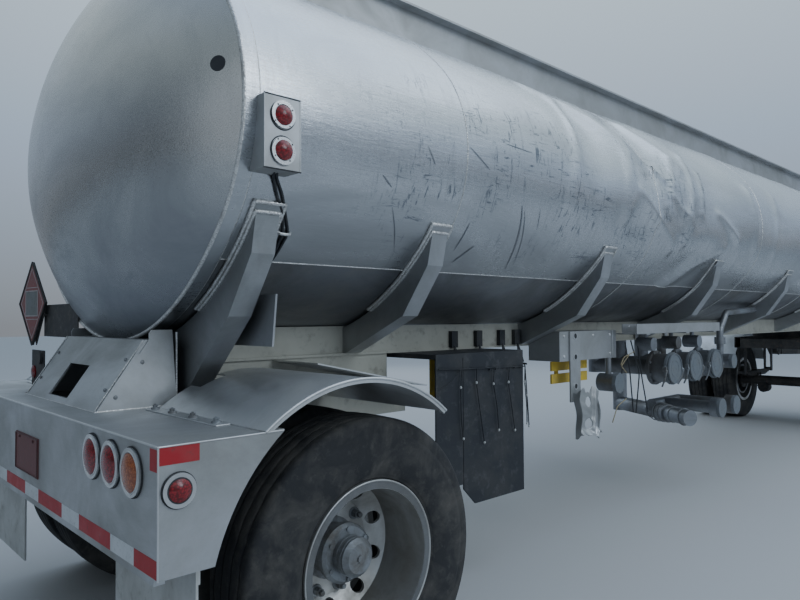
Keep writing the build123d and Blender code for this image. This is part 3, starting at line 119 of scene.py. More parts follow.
class Tree(Graph):
    """A material's nodes, with short calls for those that the finishes share."""

    def __init__(self, name: str) -> None:
        """Make a material of this name with a Principled surface."""
        self.material = bpy.data.materials.new(name)
        self.material.use_nodes = True
        super().__init__(self.material.node_tree)
        out = self.node("OutputMaterial")
        self.skin = self.node("BsdfPrincipled")
        self.feed(out.inputs[0], self.skin.outputs[0])
        self.place = self.node("TexCoord").outputs["Object"]

    def surface(self, **values: object) -> None:
        """Set Principled inputs, named with underscores for spaces."""
        for name, value in values.items():
            self.feed(self.skin.inputs[name.replace("_", " ")], value)

    def mapped(self, scale: Triple, turn: Triple = (0, 0, 0)) -> Socket:
        """Object coordinates turned and stretched."""
        return self.node("Mapping", Vector=self.place, Scale=scale, Rotation=turn).outputs[0]

    def noise(self, scale: float, detail: float = 4.0, rough: float = 0.5,
              vector: Socket | None = None, distort: float = 0.0) -> Socket:
        """Fractal noise as one grey value."""
        return self.node("TexNoise", Vector=vector or self.place, Scale=scale, Detail=detail,
                         Roughness=rough, Distortion=distort).outputs["Fac"]

    def cells(self, scale: float) -> Socket:
        """Distance in a cell pattern."""
        return self.node("TexVoronoi", Vector=self.place, Scale=scale).outputs["Distance"]

    def ramp(self, value: Socket, low: float, high: float, start: float = 0.0,
             end: float = 1.0) -> Socket:
        """Clamp a value between two levels and stretch it to start and end."""
        return self.node("MapRange", Value=value, From_Min=low, From_Max=high, To_Min=start,
                         To_Max=end).outputs[0]

    def blend(self, share: Socket, first: Socket | Triple, second: Socket | Triple) -> Socket:
        """Colour that goes from the first to the second with the share."""
        node = self.node("Mix")
        node.data_type = "RGBA"
        self.feed(node.inputs["Factor"], share)
        for name, colour in (("A", first), ("B", second)):
            self.feed(node.inputs[name], paint(colour) if isinstance(colour, tuple) else colour)
        return node.outputs["Result"]

    def sum(self, kind: str, first: Socket, second: Socket | float) -> Socket:
        """One arithmetic step between two values."""
        node = self.node("Math")
        node.operation = kind
        self.feed(node.inputs[0], first)
        self.feed(node.inputs[1], second)
        return node.outputs[0]

    def part(self, axis: str) -> Socket:
        """One coordinate of the object's own space."""
        return self.node("SeparateXYZ", Vector=self.place).outputs[axis]

    def bump(self, height: Socket, strength: float, distance: float) -> None:
        """Roughen the surface by a height pattern; later calls stack on earlier ones."""
        node = self.node("Bump", Strength=strength, Distance=distance, Height=height)
        old = self.skin.inputs["Normal"]
        if old.is_linked:
            self.links.new(old.links[0].from_socket, node.inputs["Normal"])
        self.links.new(node.outputs[0], old)


def paint(colour: tuple[float, ...]) -> tuple[float, float, float, float]:
    """A colour with full opacity."""
    return (*colour[:3], 1.0)


@dataclass(frozen=True)
class WeatheredMetal:
    """Bare metal with a brushed grain, stains and dust.

    Attributes:
        name: material name.
        bright: clean colour.
        dull: colour of the stained patches.
        roughness: gloss of clean metal.
        spread: how much duller the stains are.
        grain: stretch of the brushed grain along X, Y and Z.
        grain_depth: strength of the grain's relief.
        metallic: 1 for bare metal, less where dirt covers it.
        stain_scale: size of the stain patches, as patches to a metre.
        dust: share of pale dust on the metal.
    """

    name: str
    bright: Triple
    dull: Triple
    roughness: float = 0.35
    spread: float = 0.2
    grain: Triple = (3.0, 60.0, 60.0)
    grain_depth: float = 0.1
    metallic: float = 1.0
    stain_scale: float = 2.2
    dust: float = 0.25

    def build(self) -> bpy.types.Material:
        """Make the material."""
        tree = Tree(self.name)
        stains = tree.noise(self.stain_scale, 6.0, 0.62, distort=0.6)
        patches = tree.ramp(stains, 0.38, 0.68)
        fine = tree.noise(34.0, 3.0, 0.6)
        speck = tree.ramp(fine, 0.55, 0.75, 0.0, 0.35)
        share = tree.sum("MAXIMUM", patches, speck)
        colour = tree.blend(share, self.bright, self.dull)
        dust = tree.sum("MULTIPLY", tree.ramp(tree.noise(7.0, 8.0, 0.7), 0.5, 0.72), self.dust)
        colour = tree.blend(dust, colour, (0.36, 0.34, 0.31))
        grain = tree.noise(9.0, 3.0, 0.6, tree.mapped(self.grain))
        rough = tree.ramp(share, 0.0, 1.0, self.roughness, self.roughness + self.spread)
        rough = tree.sum("ADD", rough, tree.ramp(grain, 0.3, 0.7, -0.04, 0.06))
        tree.surface(Base_Color=colour, Metallic=self.metallic, Roughness=rough)
        tree.bump(grain, self.grain_depth, 0.001)
        tree.bump(stains, 0.05, 0.01)
        return tree.material


@dataclass(frozen=True)
class ShellMetal:
    """Rolled tank sheet: soft sheen, short glints along the roll, rubbed cloudy bands and grime,
    and painted shade that darkens its lower part.

    Attributes:
        name: material name.
        bright: clean colour.
        grime_and_shade: colour of the rubbed, oily bands, and of the painted shade low down.
        low: height where the oily bands and the painted shade are thickest.
        high: height where the sheet is clean and has no painted shade.
        shade: how far the lowest half metre is darkened towards the second colour, as painted
            shade.
        scraped: whether the right side has dark scrapes.
    """

    name: str
    bright: Triple
    grime_and_shade: Triple
    low: float = 1.62
    high: float = 2.75
    shade: float = 0.75
    scraped: bool = False

    def build(self) -> bpy.types.Material:
        """Make the material; grime and painted shade are cloudy noise times a ramp of the height,
        and the lowest half metre gets more painted shade.
        """
        tree = Tree(self.name)
        # Share of the second colour by height, larger low down: partly grime, partly painted shade
        height = tree.ramp(tree.part("Z"), self.low, self.high, 0.95, 0.25)
        cloud = tree.ramp(tree.noise(1.5, 7.0, 0.62, tree.mapped((0.6, 1.0, 1.6)), 0.8), 0.40, 0.70)
        streak = tree.noise(5.0, 6.0, 0.7, tree.mapped((6.0, 1.0, 0.5)))
        streak = tree.ramp(streak, 0.48, 0.70, 0.0, 0.6)
        share = tree.sum("MULTIPLY", tree.sum("MAXIMUM", cloud, streak), height)
        glint = tree.noise(14.0, 6.0, 0.75, tree.mapped((2.0, 9.0, 9.0)), 0.3)
        rub = tree.noise(26.0, 6.0, 0.7, tree.mapped((1.0, 2.2, 2.2)), 0.8)
        rub = tree.ramp(rub, 0.62, 0.72, 0.0, 0.45)
        share = tree.sum("MAXIMUM", share, tree.sum("MULTIPLY", rub, height))
        colour = tree.blend(share, self.bright, self.grime_and_shade)
        # Painted shade: the lowest half metre is darkened towards the second colour
        shade = tree.ramp(tree.part("Z"), self.low, self.low + 0.5, self.shade, 0.0)
        colour = tree.blend(shade, colour, self.grime_and_shade)
        if self.scraped:
            colour = tree.blend(self.scrapes(tree), colour, (0.15, 0.17, 0.20))
        rough = tree.sum("ADD", tree.ramp(share, 0.0, 1.0, 0.24, 0.42),
                         tree.ramp(glint, 0.35, 0.65, -0.05, 0.07))
        tree.surface(Base_Color=colour, Metallic=1.0, Roughness=rough)
        tree.bump(glint, 0.22, 0.002)
        tree.bump(tree.noise(2.6, 3.0, 0.5), 0.16, 0.02)
        if self.scraped:
            score = tree.noise(16.0, 4.0, 0.7, tree.mapped((0.35, 1.0, 5.0), (0, -0.12, 0)), 0.4)
            struck = tree.ramp(tree.part("Y"), -0.6, -0.95)
            tree.bump(tree.sum("MULTIPLY", score, struck), 0.30, 0.004)
        return tree.material

    def scrapes(self, tree: Tree) -> Socket:
        """Share of dark scrapes: broken upright and lengthwise lines on the struck right side.

        Each set of lines is the narrow top of a stretched noise, broken by a coarser one; the
        place is a ramp along the tank times a ramp to the right times one of the height.
        """
        upright = tree.noise(9.0, 7.0, 0.75, tree.mapped((4.0, 1.0, 0.8), (0, 0.35, 0)), 1.2)
        upright = tree.ramp(upright, 0.565, 0.60)
        along = tree.noise(7.0, 7.0, 0.75, tree.mapped((0.8, 1.0, 5.0), (0, -0.25, 0)), 1.2)
        along = tree.ramp(along, 0.575, 0.61)
        lines = tree.sum("MAXIMUM", upright, along)
        patch = tree.ramp(tree.noise(2.2, 3.0, 0.6, tree.mapped((1.0, 1.0, 1.4))), 0.44, 0.54)
        lines = tree.sum("MULTIPLY", lines, patch)
        start = tree.ramp(tree.part("X"), -5.3, -4.9)
        end = tree.ramp(tree.part("X"), -2.6, -1.6, 1.0, 0.0)
        lines = tree.sum("MULTIPLY", lines, tree.sum("MULTIPLY", start, end))
        lines = tree.sum("MULTIPLY", lines, tree.ramp(tree.part("Y"), -0.8, -1.0, 0.0, 0.85))
        return tree.sum("MULTIPLY", lines, tree.ramp(tree.part("Z"), 2.55, 2.35))


@dataclass(frozen=True)
class DustyCoat:
    """Paint, rubber or plastic with dust in patches and scuffed spots.

    Attributes:
        name: material name.
        colour: clean colour.
        worn: colour of the worn spots.
        roughness: gloss of the clean surface.
        dust: share of dust.
        scale: patches to a metre.
        relief: depth of the surface's unevenness.
        dirt: colour of the dust.
    """

    name: str
    colour: Triple
    worn: Triple
    roughness: float = 0.6
    dust: float = 0.4
    scale: float = 6.0
    relief: float = 0.15
    dirt: Triple = (0.23, 0.21, 0.18)

    def build(self) -> bpy.types.Material:
        """Make the material."""
        tree = Tree(self.name)
        wear = tree.ramp(tree.noise(self.scale * 4, 6.0, 0.65), 0.55, 0.7)
        colour = tree.blend(wear, self.colour, self.worn)
        cloud = tree.noise(self.scale, 7.0, 0.65, distort=0.4)
        dust = tree.sum("MULTIPLY", tree.ramp(cloud, 0.42, 0.72), self.dust)
        colour = tree.blend(dust, colour, self.dirt)
        rough = tree.ramp(cloud, 0.3, 0.7, self.roughness, min(1.0, self.roughness + 0.25))
        tree.surface(Base_Color=colour, Roughness=rough)
        tree.bump(tree.noise(self.scale * 12, 5.0, 0.6), self.relief, 0.002)
        return tree.material


@dataclass(frozen=True)
class LampGlass:
    """Moulded lens with fine cross ribs and a warm depth.

    Attributes:
        name: material name.
        colour: colour of the plastic.
        deep: darker colour between the ribs.
    """

    name: str
    colour: Triple
    deep: Triple

    def build(self) -> bpy.types.Material:
        """Make the material."""
        tree = Tree(self.name)
        ribs = tree.cells(150.0)
        colour = tree.blend(tree.ramp(ribs, 0.1, 0.7), self.colour, self.deep)
        dust = tree.sum("MULTIPLY", tree.ramp(tree.noise(30.0, 5.0), 0.5, 0.7), 0.12)
        colour = tree.blend(dust, colour, (0.3, 0.2, 0.17))
        tree.surface(Base_Color=colour, Roughness=0.22, Coat_Weight=0.25, Coat_Roughness=0.12)
        tree.bump(ribs, 0.35, 0.001)
        return tree.material


@dataclass(frozen=True)
class WeldBead:
    """Bright weld metal with the fine ripples of its layers.

    Attributes:
        name: material name.
        bright: colour of the ripples' tops.
        dark: colour of the soot between them.
    """

    name: str
    bright: Triple
    dark: Triple

    def build(self) -> bpy.types.Material:
        """Make the material."""
        tree = Tree(self.name)
        ripple = tree.cells(190.0)
        soot = tree.ramp(tree.noise(16.0, 5.0, 0.6), 0.5, 0.66, 0.0, 0.8)
        share = tree.sum("MAXIMUM", tree.ramp(ripple, 0.35, 0.8, 0.0, 0.7), soot)
        tree.surface(Base_Color=tree.blend(share, self.bright, self.dark), Metallic=0.9,
                     Roughness=0.38)
        tree.bump(ripple, 0.7, 0.002)
        return tree.material


FINISHES = {finish.name: finish for finish in (
    # Tank sheet: darker towards the bottom of the side, partly grime and partly painted shade
    ShellMetal("tank_aluminium", (0.66, 0.68, 0.71), (0.34, 0.35, 0.36), scraped=True),
    # Belly sheets: dark all over as painted shade under the tank, with real stains and dust
    WeatheredMetal("belly_shaded_aluminium", (0.27, 0.28, 0.30), (0.18, 0.18, 0.18), 0.42, 0.2, dust=0.4),
    # Head: its dark second colour is mostly painted shade, laid over the lowest half metre and the
    # low cloudy bands
    ShellMetal("head_aluminium", (0.68, 0.67, 0.65), (0.19, 0.205, 0.23), 1.50, 2.05, 0.88),
    WeldBead("weld_bead", (0.78, 0.78, 0.77), (0.40, 0.38, 0.36)),
    WeatheredMetal("scuff_dark", (0.20, 0.22, 0.25), (0.34, 0.35, 0.37), 0.4, 0.2, dust=0.2),
    DustyCoat("tape_red", (0.40, 0.010, 0.018), (0.24, 0.03, 0.03), 0.4, 0.12, 14.0),
    DustyCoat("tape_white", (0.60, 0.62, 0.64), (0.42, 0.42, 0.43), 0.4, 0.2, 14.0),
    DustyCoat("plate_rim", (0.10, 0.035, 0.04), (0.2, 0.15, 0.14), 0.5, 0.3, 20.0),
    DustyCoat("wire_tan", (0.36, 0.30, 0.18), (0.2, 0.17, 0.12), 0.6, 0.3, 20.0),
    DustyCoat("wire_white", (0.62, 0.62, 0.60), (0.4, 0.4, 0.38), 0.6, 0.3, 20.0),
    DustyCoat("cord_bead", (0.62, 0.62, 0.60), (0.4, 0.4, 0.38), 0.5, 0.2, 20.0),
    DustyCoat("placard_black", (0.03, 0.03, 0.032), (0.10, 0.09, 0.09), 0.5, 0.35, 12.0),
    DustyCoat("placard_red", (0.26, 0.085, 0.085), (0.24, 0.15, 0.15), 0.5, 0.35, 12.0),
    DustyCoat("placard_grey", (0.18, 0.19, 0.19), (0.12, 0.10, 0.10), 0.5, 0.35, 12.0),
    DustyCoat("placard_line", (0.46, 0.40, 0.40), (0.30, 0.22, 0.22), 0.5, 0.35, 12.0),
    DustyCoat("yellow_paint", (0.72, 0.50, 0.05), (0.42, 0.33, 0.14), 0.5, 0.35, 12.0),
    WeatheredMetal("plate_aluminium", (0.50, 0.51, 0.52), (0.36, 0.36, 0.35), 0.42, 0.2,
                   (30.0, 3.0, 30.0), 0.06, 0.85),
    WeatheredMetal("arm_aluminium", (0.46, 0.47, 0.49), (0.32, 0.33, 0.33), 0.40, 0.2),
    WeatheredMetal("fender_aluminium", (0.72, 0.73, 0.74), (0.58, 0.58, 0.57), 0.38, 0.2),
    DustyCoat("frame_paint", (0.44, 0.43, 0.37), (0.30, 0.29, 0.25), 0.55, 0.35, 4.0),
    WeatheredMetal("lamp_chrome", (0.74, 0.74, 0.74), (0.5, 0.5, 0.49), 0.18, 0.25),
    LampGlass("red_lens", (0.38, 0.012, 0.02), (0.12, 0.004, 0.006)),
    LampGlass("amber_lens", (0.50, 0.15, 0.05), (0.25, 0.06, 0.02)),
    DustyCoat("plate_blank", (0.16, 0.05, 0.05), (0.1, 0.05, 0.05), 0.5, 0.3, 20.0),
    DustyCoat("pale_rubber", (0.52, 0.53, 0.52), (0.38, 0.38, 0.36), 0.7, 0.5, 5.0),
    DustyCoat("black_rubber", (0.018, 0.021, 0.027), (0.05, 0.052, 0.058), 0.55, 0.18, 5.0),
    WeatheredMetal("pipe_aluminium", (0.32, 0.34, 0.37), (0.14, 0.13, 0.12), 0.45, 0.25, dust=0.4),
    DustyCoat("cap_grey", (0.15, 0.17, 0.19), (0.10, 0.10, 0.11), 0.55, 0.3, 12.0),
    DustyCoat("black_steel", (0.03, 0.03, 0.033), (0.09, 0.06, 0.045), 0.6, 0.45, 5.0),
    DustyCoat("tyre_rubber", (0.022, 0.022, 0.024), (0.05, 0.048, 0.046), 0.75, 0.35, 7.0),
    WeatheredMetal("wheel_aluminium", (0.60, 0.60, 0.59), (0.42, 0.40, 0.37), 0.42, 0.2,
                   (12.0, 12.0, 12.0), 0.05, 0.9, 6.0, 0.4),
    # Rim well: a dark finish as painted shade where the flat flange stands for a curve
    WeatheredMetal("rim_well_shade", (0.26, 0.265, 0.27), (0.18, 0.175, 0.17), 0.45, 0.2, dust=0.3),
    WeatheredMetal("hub_steel", (0.33, 0.35, 0.37), (0.19, 0.18, 0.17), 0.5, 0.2,
                   (20.0, 20.0, 20.0), 0.1, 0.8, 14.0, 0.5),
)}


class Paintbox:
    """Materials by slot name, each made once."""

    made: dict[str, bpy.types.Material] = {}

    @classmethod
    def get(cls, slot: str) -> bpy.types.Material:
        """The material of a slot."""
        if slot not in cls.made:
            cls.made[slot] = FINISHES[slot].build()
        return cls.made[slot]


def quads(rows: int, cols: int, loop_rows: bool = False, loop_cols: bool = False) -> Array:
    """Four-sided faces between neighbours of a rows by cols grid of points.

    Args:
        rows: points along the first parameter.
        cols: points along the second.
        loop_rows: whether the last row joins the first.
        loop_cols: whether the last column joins the first.

    Returns:
        Point numbers, four to a face.
    """
    row = np.arange(rows if loop_rows else rows - 1)
    col = np.arange(cols if loop_cols else cols - 1)
    row, col = np.meshgrid(row, col, indexing="ij")
    below, right = (row + 1) % rows, (col + 1) % cols
    corners = (row * cols + col, row * cols + right, below * cols + right, below * cols + col)
    return np.stack(corners, -1).reshape(-1, 4)


class Shape:
    """Points and faces gathered from numpy surfaces and put into one mesh at the end."""

    def __init__(self) -> None:
        """Start empty."""
        self.points: list[Array] = []
        self.faces: list[Array] = []
        self.marks: list[Array] = []
        self.size = 0

    def add(self, points: Array, faces: list[Array], mark: int = 0) -> "Shape":
        """Take in one more surface.

        Args:
            points: its points, any grid of threes.
            faces: arrays of point numbers, one array for each number of sides.
            mark: which of the piece's materials it has.

        Returns:
            This shape, so calls chain.
        """
        flat = np.asarray(points, float).reshape(-1, 3)
        for block in faces:
            self.faces.append(np.asarray(block, int) + self.size)
            self.marks.append(np.full(len(block), mark))
        self.points.append(flat)
        self.size += len(flat)
        return self

    def tube(self, path: Array, radius: float, sides: int = 10, mark: int = 0,
             closed: bool = False) -> "Shape":
        """Round bar along a path.

        Each ring lies square to the path: its first axis is the path's tangent crossed with a
        fixed direction that the path never follows, its second is square to both, and a point is
        the path's point plus radius times (cosine on the first + sine on the second).

        Args:
            path: points of its middle line.
            radius: half its thickness.
            sides: points of a ring.
            mark: which of the piece's materials it has.
            closed: whether the path's end joins its start.

        Returns:
            This shape.
        """
        path = np.asarray(path, float)
        if closed:
            along = np.roll(path, -1, 0) - np.roll(path, 1, 0)
        else:
            along = np.gradient(path, axis=0)
        along /= np.linalg.norm(along, axis=1, keepdims=True)
        fixed = np.eye(3)[int(np.argmin(np.abs(along).max(0)))]
        first = np.cross(along, fixed)
        first /= np.linalg.norm(first, axis=1, keepdims=True)
        second = np.cross(along, first)
        turn = np.linspace(0, 2 * np.pi, sides, endpoint=False)[None, :, None]
        ring = np.cos(turn) * first[:, None] + np.sin(turn) * second[:, None]
        faces = [quads(len(path), sides, closed, True)]
        if not closed:
            low = np.arange(sides)[None]
            faces.append(np.concatenate((low[:, ::-1], low + (len(path) - 1) * sides)))
        return self.add(path[:, None] + radius * ring, faces, mark)

    def lathe(self, profile: Array | Profile, centre: Sequence[float], axis: str, steps: int = 40,
              mark: int = 0, loop: bool = False, way: int = 1) -> "Shape":
        """Turn a profile about an axis through the centre.

        A profile point (along, radius) at a turn t becomes the centre, plus along on the axis,
        plus radius times (cosine of t on the next axis + sine of t on the one after).

        Args:
            profile: its points.
            centre: where the profile's zero is.
            axis: axis that it turns about.
            steps: points round the axis.
            mark: which of the piece's materials it has.
            loop: whether the profile's end joins its start.
            way: 1 towards the axis's plus side, -1 towards its minus side.

        Returns:
            This shape.
        """
        profile = np.asarray(profile, float)
        lead = "XYZ".index(axis)
        turn = np.linspace(0, 2 * np.pi, steps, endpoint=False)
        points = np.zeros((len(profile), steps, 3))
        points[..., lead] = profile[:, :1] * way
        points[..., (lead + 1) % 3] = profile[:, 1:] * np.cos(turn)
        points[..., (lead + 2) % 3] = profile[:, 1:] * np.sin(turn)
        faces = [quads(len(profile), steps, loop, True)]
        if not loop:
            low = np.arange(steps)[None]
            faces.append(np.concatenate((low[:, ::-1], low + (len(profile) - 1) * steps)))
        return self.add(points + np.asarray(centre, float), faces, mark)

    def box(self, low: Sequence[float], high: Sequence[float], mark: int = 0) -> "Shape":
        """Block between two corners; each point takes its coordinates from one or the other."""
        pick = np.array([(i, j, k) for i in (0, 1) for j in (0, 1) for k in (0, 1)])
        points = np.where(pick, high, low)
        faces = [(0, 1, 3, 2), (4, 6, 7, 5), (0, 4, 5, 1), (2, 3, 7, 6), (0, 2, 6, 4), (1, 5, 7, 3)]
        return self.add(points, [np.array(faces)], mark)

    def prism(self, outline: Array, way: Sequence[float], mark: int = 0) -> "Shape":
        """Flat outline swept straight by one vector: the outline's points, then the same moved."""
        outline = np.asarray(outline, float)
        count = len(outline)
        ends = np.stack((np.arange(count)[::-1], np.arange(count) + count))
        points = np.stack((outline, outline + np.asarray(way, float)))
        return self.add(points, [quads(2, count, False, True), ends], mark)

    def ball(self, centre: Sequence[float], size: Sequence[float], mark: int = 0,
             steps: int = 12) -> "Shape":
        """Flattened ball: a half circle turned about Z, then stretched to the three half sizes."""
        up = np.linspace(-0.49 * np.pi, 0.49 * np.pi, steps // 2 + 2)
        unit = Shape().lathe(np.stack((np.sin(up), np.cos(up)), -1), (0, 0, 0), "Z", steps)
        points = unit.points[0] * np.asarray(size, float) + np.asarray(centre, float)
        return self.add(points, unit.faces, mark)

    def make(self, name: str, slots: Sequence[str], body: str = "chassis", bevel: float = 0.0,
             angle: float = 35.0, turn_out: bool = True) -> bpy.types.Object:
        """Make the object, smooth it below an angle and let it ride on a body.

        Args:
            name: piece name.
            slots: its finishes.
            body: body that carries it.
            bevel: width of rounded edges, or none.
            angle: edges sharper than this, in degrees, stay sharp.
            turn_out: whether closed parts have their faces turned outwards.

        Returns:
            The new object.
        """
        mesh = bpy.data.meshes.new(name)
        points = np.concatenate(self.points)
        corners = np.concatenate([block.ravel() for block in self.faces])
        sides = np.concatenate([np.full(len(block), block.shape[1]) for block in self.faces])
        mesh.vertices.add(len(points))
        mesh.vertices.foreach_set("co", points.ravel())
        mesh.loops.add(len(corners))
        mesh.loops.foreach_set("vertex_index", corners)
        mesh.polygons.add(len(sides))
        mesh.polygons.foreach_set("loop_start", np.concatenate(([0], np.cumsum(sides)[:-1])))
        mesh.polygons.foreach_set("material_index", np.concatenate(self.marks))
        mesh.update(calc_edges=True)
        mesh.validate()
        if turn_out:
            work = bmesh.new()
            work.from_mesh(mesh)
            bmesh.ops.recalc_face_normals(work, faces=work.faces)
            work.to_mesh(mesh)
            work.free()
        for slot in slots:
            mesh.materials.append(Paintbox.get(slot))
        mesh.shade_smooth()
        mesh.set_sharp_from_angle(angle=math.radians(angle))
        thing = bpy.data.objects.new(name, mesh)
        bpy.context.scene.collection.objects.link(thing)
        if bevel:
            edge = thing.modifiers.new("bevel", "BEVEL")
            edge.width = bevel
            edge.segments = 2
            edge.limit_method = "ANGLE"
            edge.harden_normals = True
        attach(thing, body)
        LOG.info("%s: %d faces on %s", name, len(sides), body)
        return thing


def line(*points: Sequence[float], step: float = 0.02) -> Array:
    """Straight runs through the points.

    Args:
        points: corners of the path.
        step: longest distance between two of its points.

    Returns:
        Points along it.
    """
    points = np.asarray(points, float)
    run = np.concatenate(([0], np.cumsum(np.linalg.norm(np.diff(points, axis=0), axis=1))))
    at_run = np.unique(np.concatenate((np.arange(0, run[-1], step), run)))
    return np.stack([np.interp(at_run, run, points[:, axis]) for axis in range(3)], -1)


def curve(*points: Sequence[float], count: int = 40) -> Array:
    """Smooth line near the points: straight runs rounded off by three weighted means.

    Args:
        points: corners of the route.
        count: how many points it gets.

    Returns:
        Points along it; the first and last are those of the route.
    """
    path = line(*points, step=1e9)
    run = np.linspace(0, 1, count)
    knots = np.concatenate(([0], np.cumsum(np.linalg.norm(np.diff(path, axis=0), axis=1))))
    even = np.stack([np.interp(run, knots / knots[-1], path[:, axis]) for axis in range(3)], -1)
    for _ in range(3):
        padded = np.concatenate((even[:1], even, even[-1:]))
        smooth = (padded[:-2] + 2 * padded[1:-1] + padded[2:]) / 4
        even[1:-1] = smooth[1:-1]
    return even


def band(start: float, end: float, inner: float, outer: float) -> Array:
    """Profile of a plain ring or bolt head: out at its start, and back in at its end."""
    return np.array([(start, inner), (start, outer), (end, outer), (end, inner)])


def around(radius: float, count: int, shift: float = 0.0) -> list[tuple[float, float]]:
    """Even places on a circle: radius times cosine and sine, shifted by a share of a step."""
    angles = 2 * np.pi * (np.arange(count) + shift) / count
    return [(radius * math.cos(angle), radius * math.sin(angle)) for angle in angles]


def dress_frame() -> None:
    """Give each fixed node the finish of its slot."""
    slots = {part["node"]: part["material_slot"] for part in frame["record"]["subparts"]}
    for node, thing in frame["nodes"].items():
        thing.data.materials.clear()
        thing.data.materials.append(Paintbox.get(slots[node]))


@dataclass
class TankForm:
    """Oval tank: four tangent arcs, dished heads and the dents of the right side, as formulas.

    Attributes:
        start: station of the rear head's seam.
        end: station of the front head's seam.
        middle: height of the oval's centre.
        half_width: half of the oval's width.
        half_height: half of its height.
        corner: radius of the side arcs.
        dish: depth of the heads.
    """

    start: float = 0.360
    end: float = 10.040
    middle: float = 2.145
    half_width: float = 1.092
    half_height: float = 0.825
    corner: float = 0.600
    dish: float = 0.280
    # Broad dents of the right side: station, height, half length, half height, depth
    hollows: tuple[tuple[float, ...], ...] = (
        (2.62, 2.45, 0.20, 0.26, 0.036), (3.30, 2.46, 0.26, 0.30, 0.056),
        (4.25, 2.30, 0.40, 0.34, 0.062), (5.50, 2.25, 0.55, 0.36, 0.040),
        (4.10, 1.78, 0.30, 0.12, 0.034), (7.30, 2.15, 0.70, 0.34, 0.018),
        (1.10, 2.05, 0.30, 0.20, 0.004), (3.05, 1.95, 0.22, 0.10, 0.026),
        (3.62, 2.12, 0.10, 0.14, 0.022), (3.98, 2.08, 0.12, 0.18, 0.022),
        (3.18, 2.62, 0.10, 0.06, 0.016))
    # Creases that stand up between the dents: station and height at each end, width, rise
    creases: tuple[tuple[float, ...], ...] = (
        (2.48, 2.66, 2.30, 2.00, 0.040, 0.020), (2.96, 2.44, 2.90, 1.98, 0.042, 0.034),
        (3.05, 2.16, 3.56, 1.86, 0.040, 0.026), (3.86, 2.52, 3.72, 1.92, 0.045, 0.026),
        (2.60, 2.68, 3.00, 2.40, 0.042, 0.022), (3.40, 2.70, 3.70, 2.40, 0.042, 0.020),
        (3.83, 1.62, 4.40, 1.90, 0.045, 0.024), (4.92, 2.40, 4.97, 1.95, 0.055, 0.024),
        (5.60, 2.45, 5.45, 1.95, 0.060, 0.018), (3.30, 2.35, 3.42, 2.05, 0.030, 0.020),
        (2.30, 2.70, 2.78, 2.60, 0.026, 0.018), (2.78, 2.60, 3.42, 2.30, 0.028, 0.022),
        (3.50, 2.20, 3.80, 2.02, 0.024, 0.018), (4.10, 2.45, 4.02, 2.12, 0.028, 0.022),
        (4.30, 2.16, 4.62, 1.98, 0.030, 0.020), (3.60, 2.46, 3.54, 2.26, 0.024, 0.016))

    @property
    def crown(self) -> float:
        """Radius of the top and bottom arcs, tangent inside to the side arcs."""
        reach, fall = self.half_width - self.corner, self.half_height - self.corner
        return (reach ** 2 + self.half_height ** 2 - self.corner ** 2) / 2 / fall

    def section(self, angle: Array) -> tuple[Array, Array]:
        """Y and height over the centre where the oval's outward normal has this angle from +Y.

        Where the normal is flatter than the line between the arcs' centres, the point is on a side
        arc: its centre plus the corner radius along the normal. Elsewhere it is on the crown arc.
        """
        across, up = np.cos(angle), np.sin(angle)
        reach, drop = self.half_width - self.corner, self.crown - self.half_height
        on_side = np.abs(up) < drop / math.hypot(reach, drop)
        y = np.where(on_side, np.sign(across) * reach + self.corner * across, self.crown * across)
        z = np.where(on_side, self.corner * up, self.crown * up - np.sign(up) * drop)
        return y, z

    def dent(self, station: Array, height: Array) -> Array:
        """How far the right side is pushed in: bell curves of the dents less those of the creases.

        A crease's bell falls with the distance from its line, and fades past the line's ends.
        """
        depth = np.zeros(np.broadcast(station, height).shape)
        for u, z, long, tall, push in self.hollows:
            depth += push * np.exp(-((station - u) / long) ** 2 - ((height - z) / tall) ** 2)
        for u0, z0, u1, z1, width, rise in self.creases:
            run = np.hypot(u1 - u0, z1 - z0)
            along = ((station - u0) * (u1 - u0) + (height - z0) * (z1 - z0)) / run ** 2
            off = ((station - u0) * (z1 - z0) - (height - z0) * (u1 - u0)) / run
            past = np.clip(np.abs(along - 0.5) - 0.5, 0, None) * run
            depth -= rise * np.exp(-np.abs(off / width) ** 1.4 - (past / width) ** 2)
        return np.clip(depth, -0.010, None)

    def skin(self, station: Array, angle: Array, lift: float = 0.0) -> Array:
        """Points of the shell's outside, with its dents.

        Args:
            station: stations of the points.
            angle: angles of the outward normal from +Y.
            lift: how far they are raised along the normal.

        Returns:
            The points.
        """
        station, angle = np.broadcast_arrays(np.asarray(station, float), np.asarray(angle, float))
        y, z = self.section(angle)
        right = np.clip(-np.cos(angle) * 2.5, 0, 1)
        push = lift - self.dent(station, z + self.middle) * right
        return np.stack((station - REAR_SHIFT, y + push * np.cos(angle),
                         z + self.middle + push * np.sin(angle)), -1)

    def angle_at(self, height: float, side: Side = Side.RIGHT) -> float:
        """Normal angle of the shell at a height on one side."""
        rise = height - self.middle
        reach, drop = self.half_width - self.corner, self.crown - self.half_height
        level = rise / self.corner
        if abs(level) >= drop / math.hypot(reach, drop):
            level = (rise + math.copysign(drop, rise)) / self.crown
        angle = math.asin(level)
        return angle if side is Side.LEFT else math.pi - angle

    def head(self, share: Array, angle: Array, front: bool, lift: float = 0.0) -> Array:
        """Points of a dished head: the oval shrunk by a share s, pushed out by 1 - s to the 2.2.

        Args:
            share: share of the oval's size.
            angle: angles of the oval's normal from +Y.
            front: whether it is the front head.
            lift: how far the points are raised along X.

        Returns:
            The points.
        """
        y, z = self.section(angle)
        bulge = self.dish * (1 - share ** 2.2) + lift
        x = self.end + bulge if front else self.start - bulge
        return np.stack(np.broadcast_arrays(x - REAR_SHIFT, share * y, share * z + self.middle), -1)


FORM = TankForm()


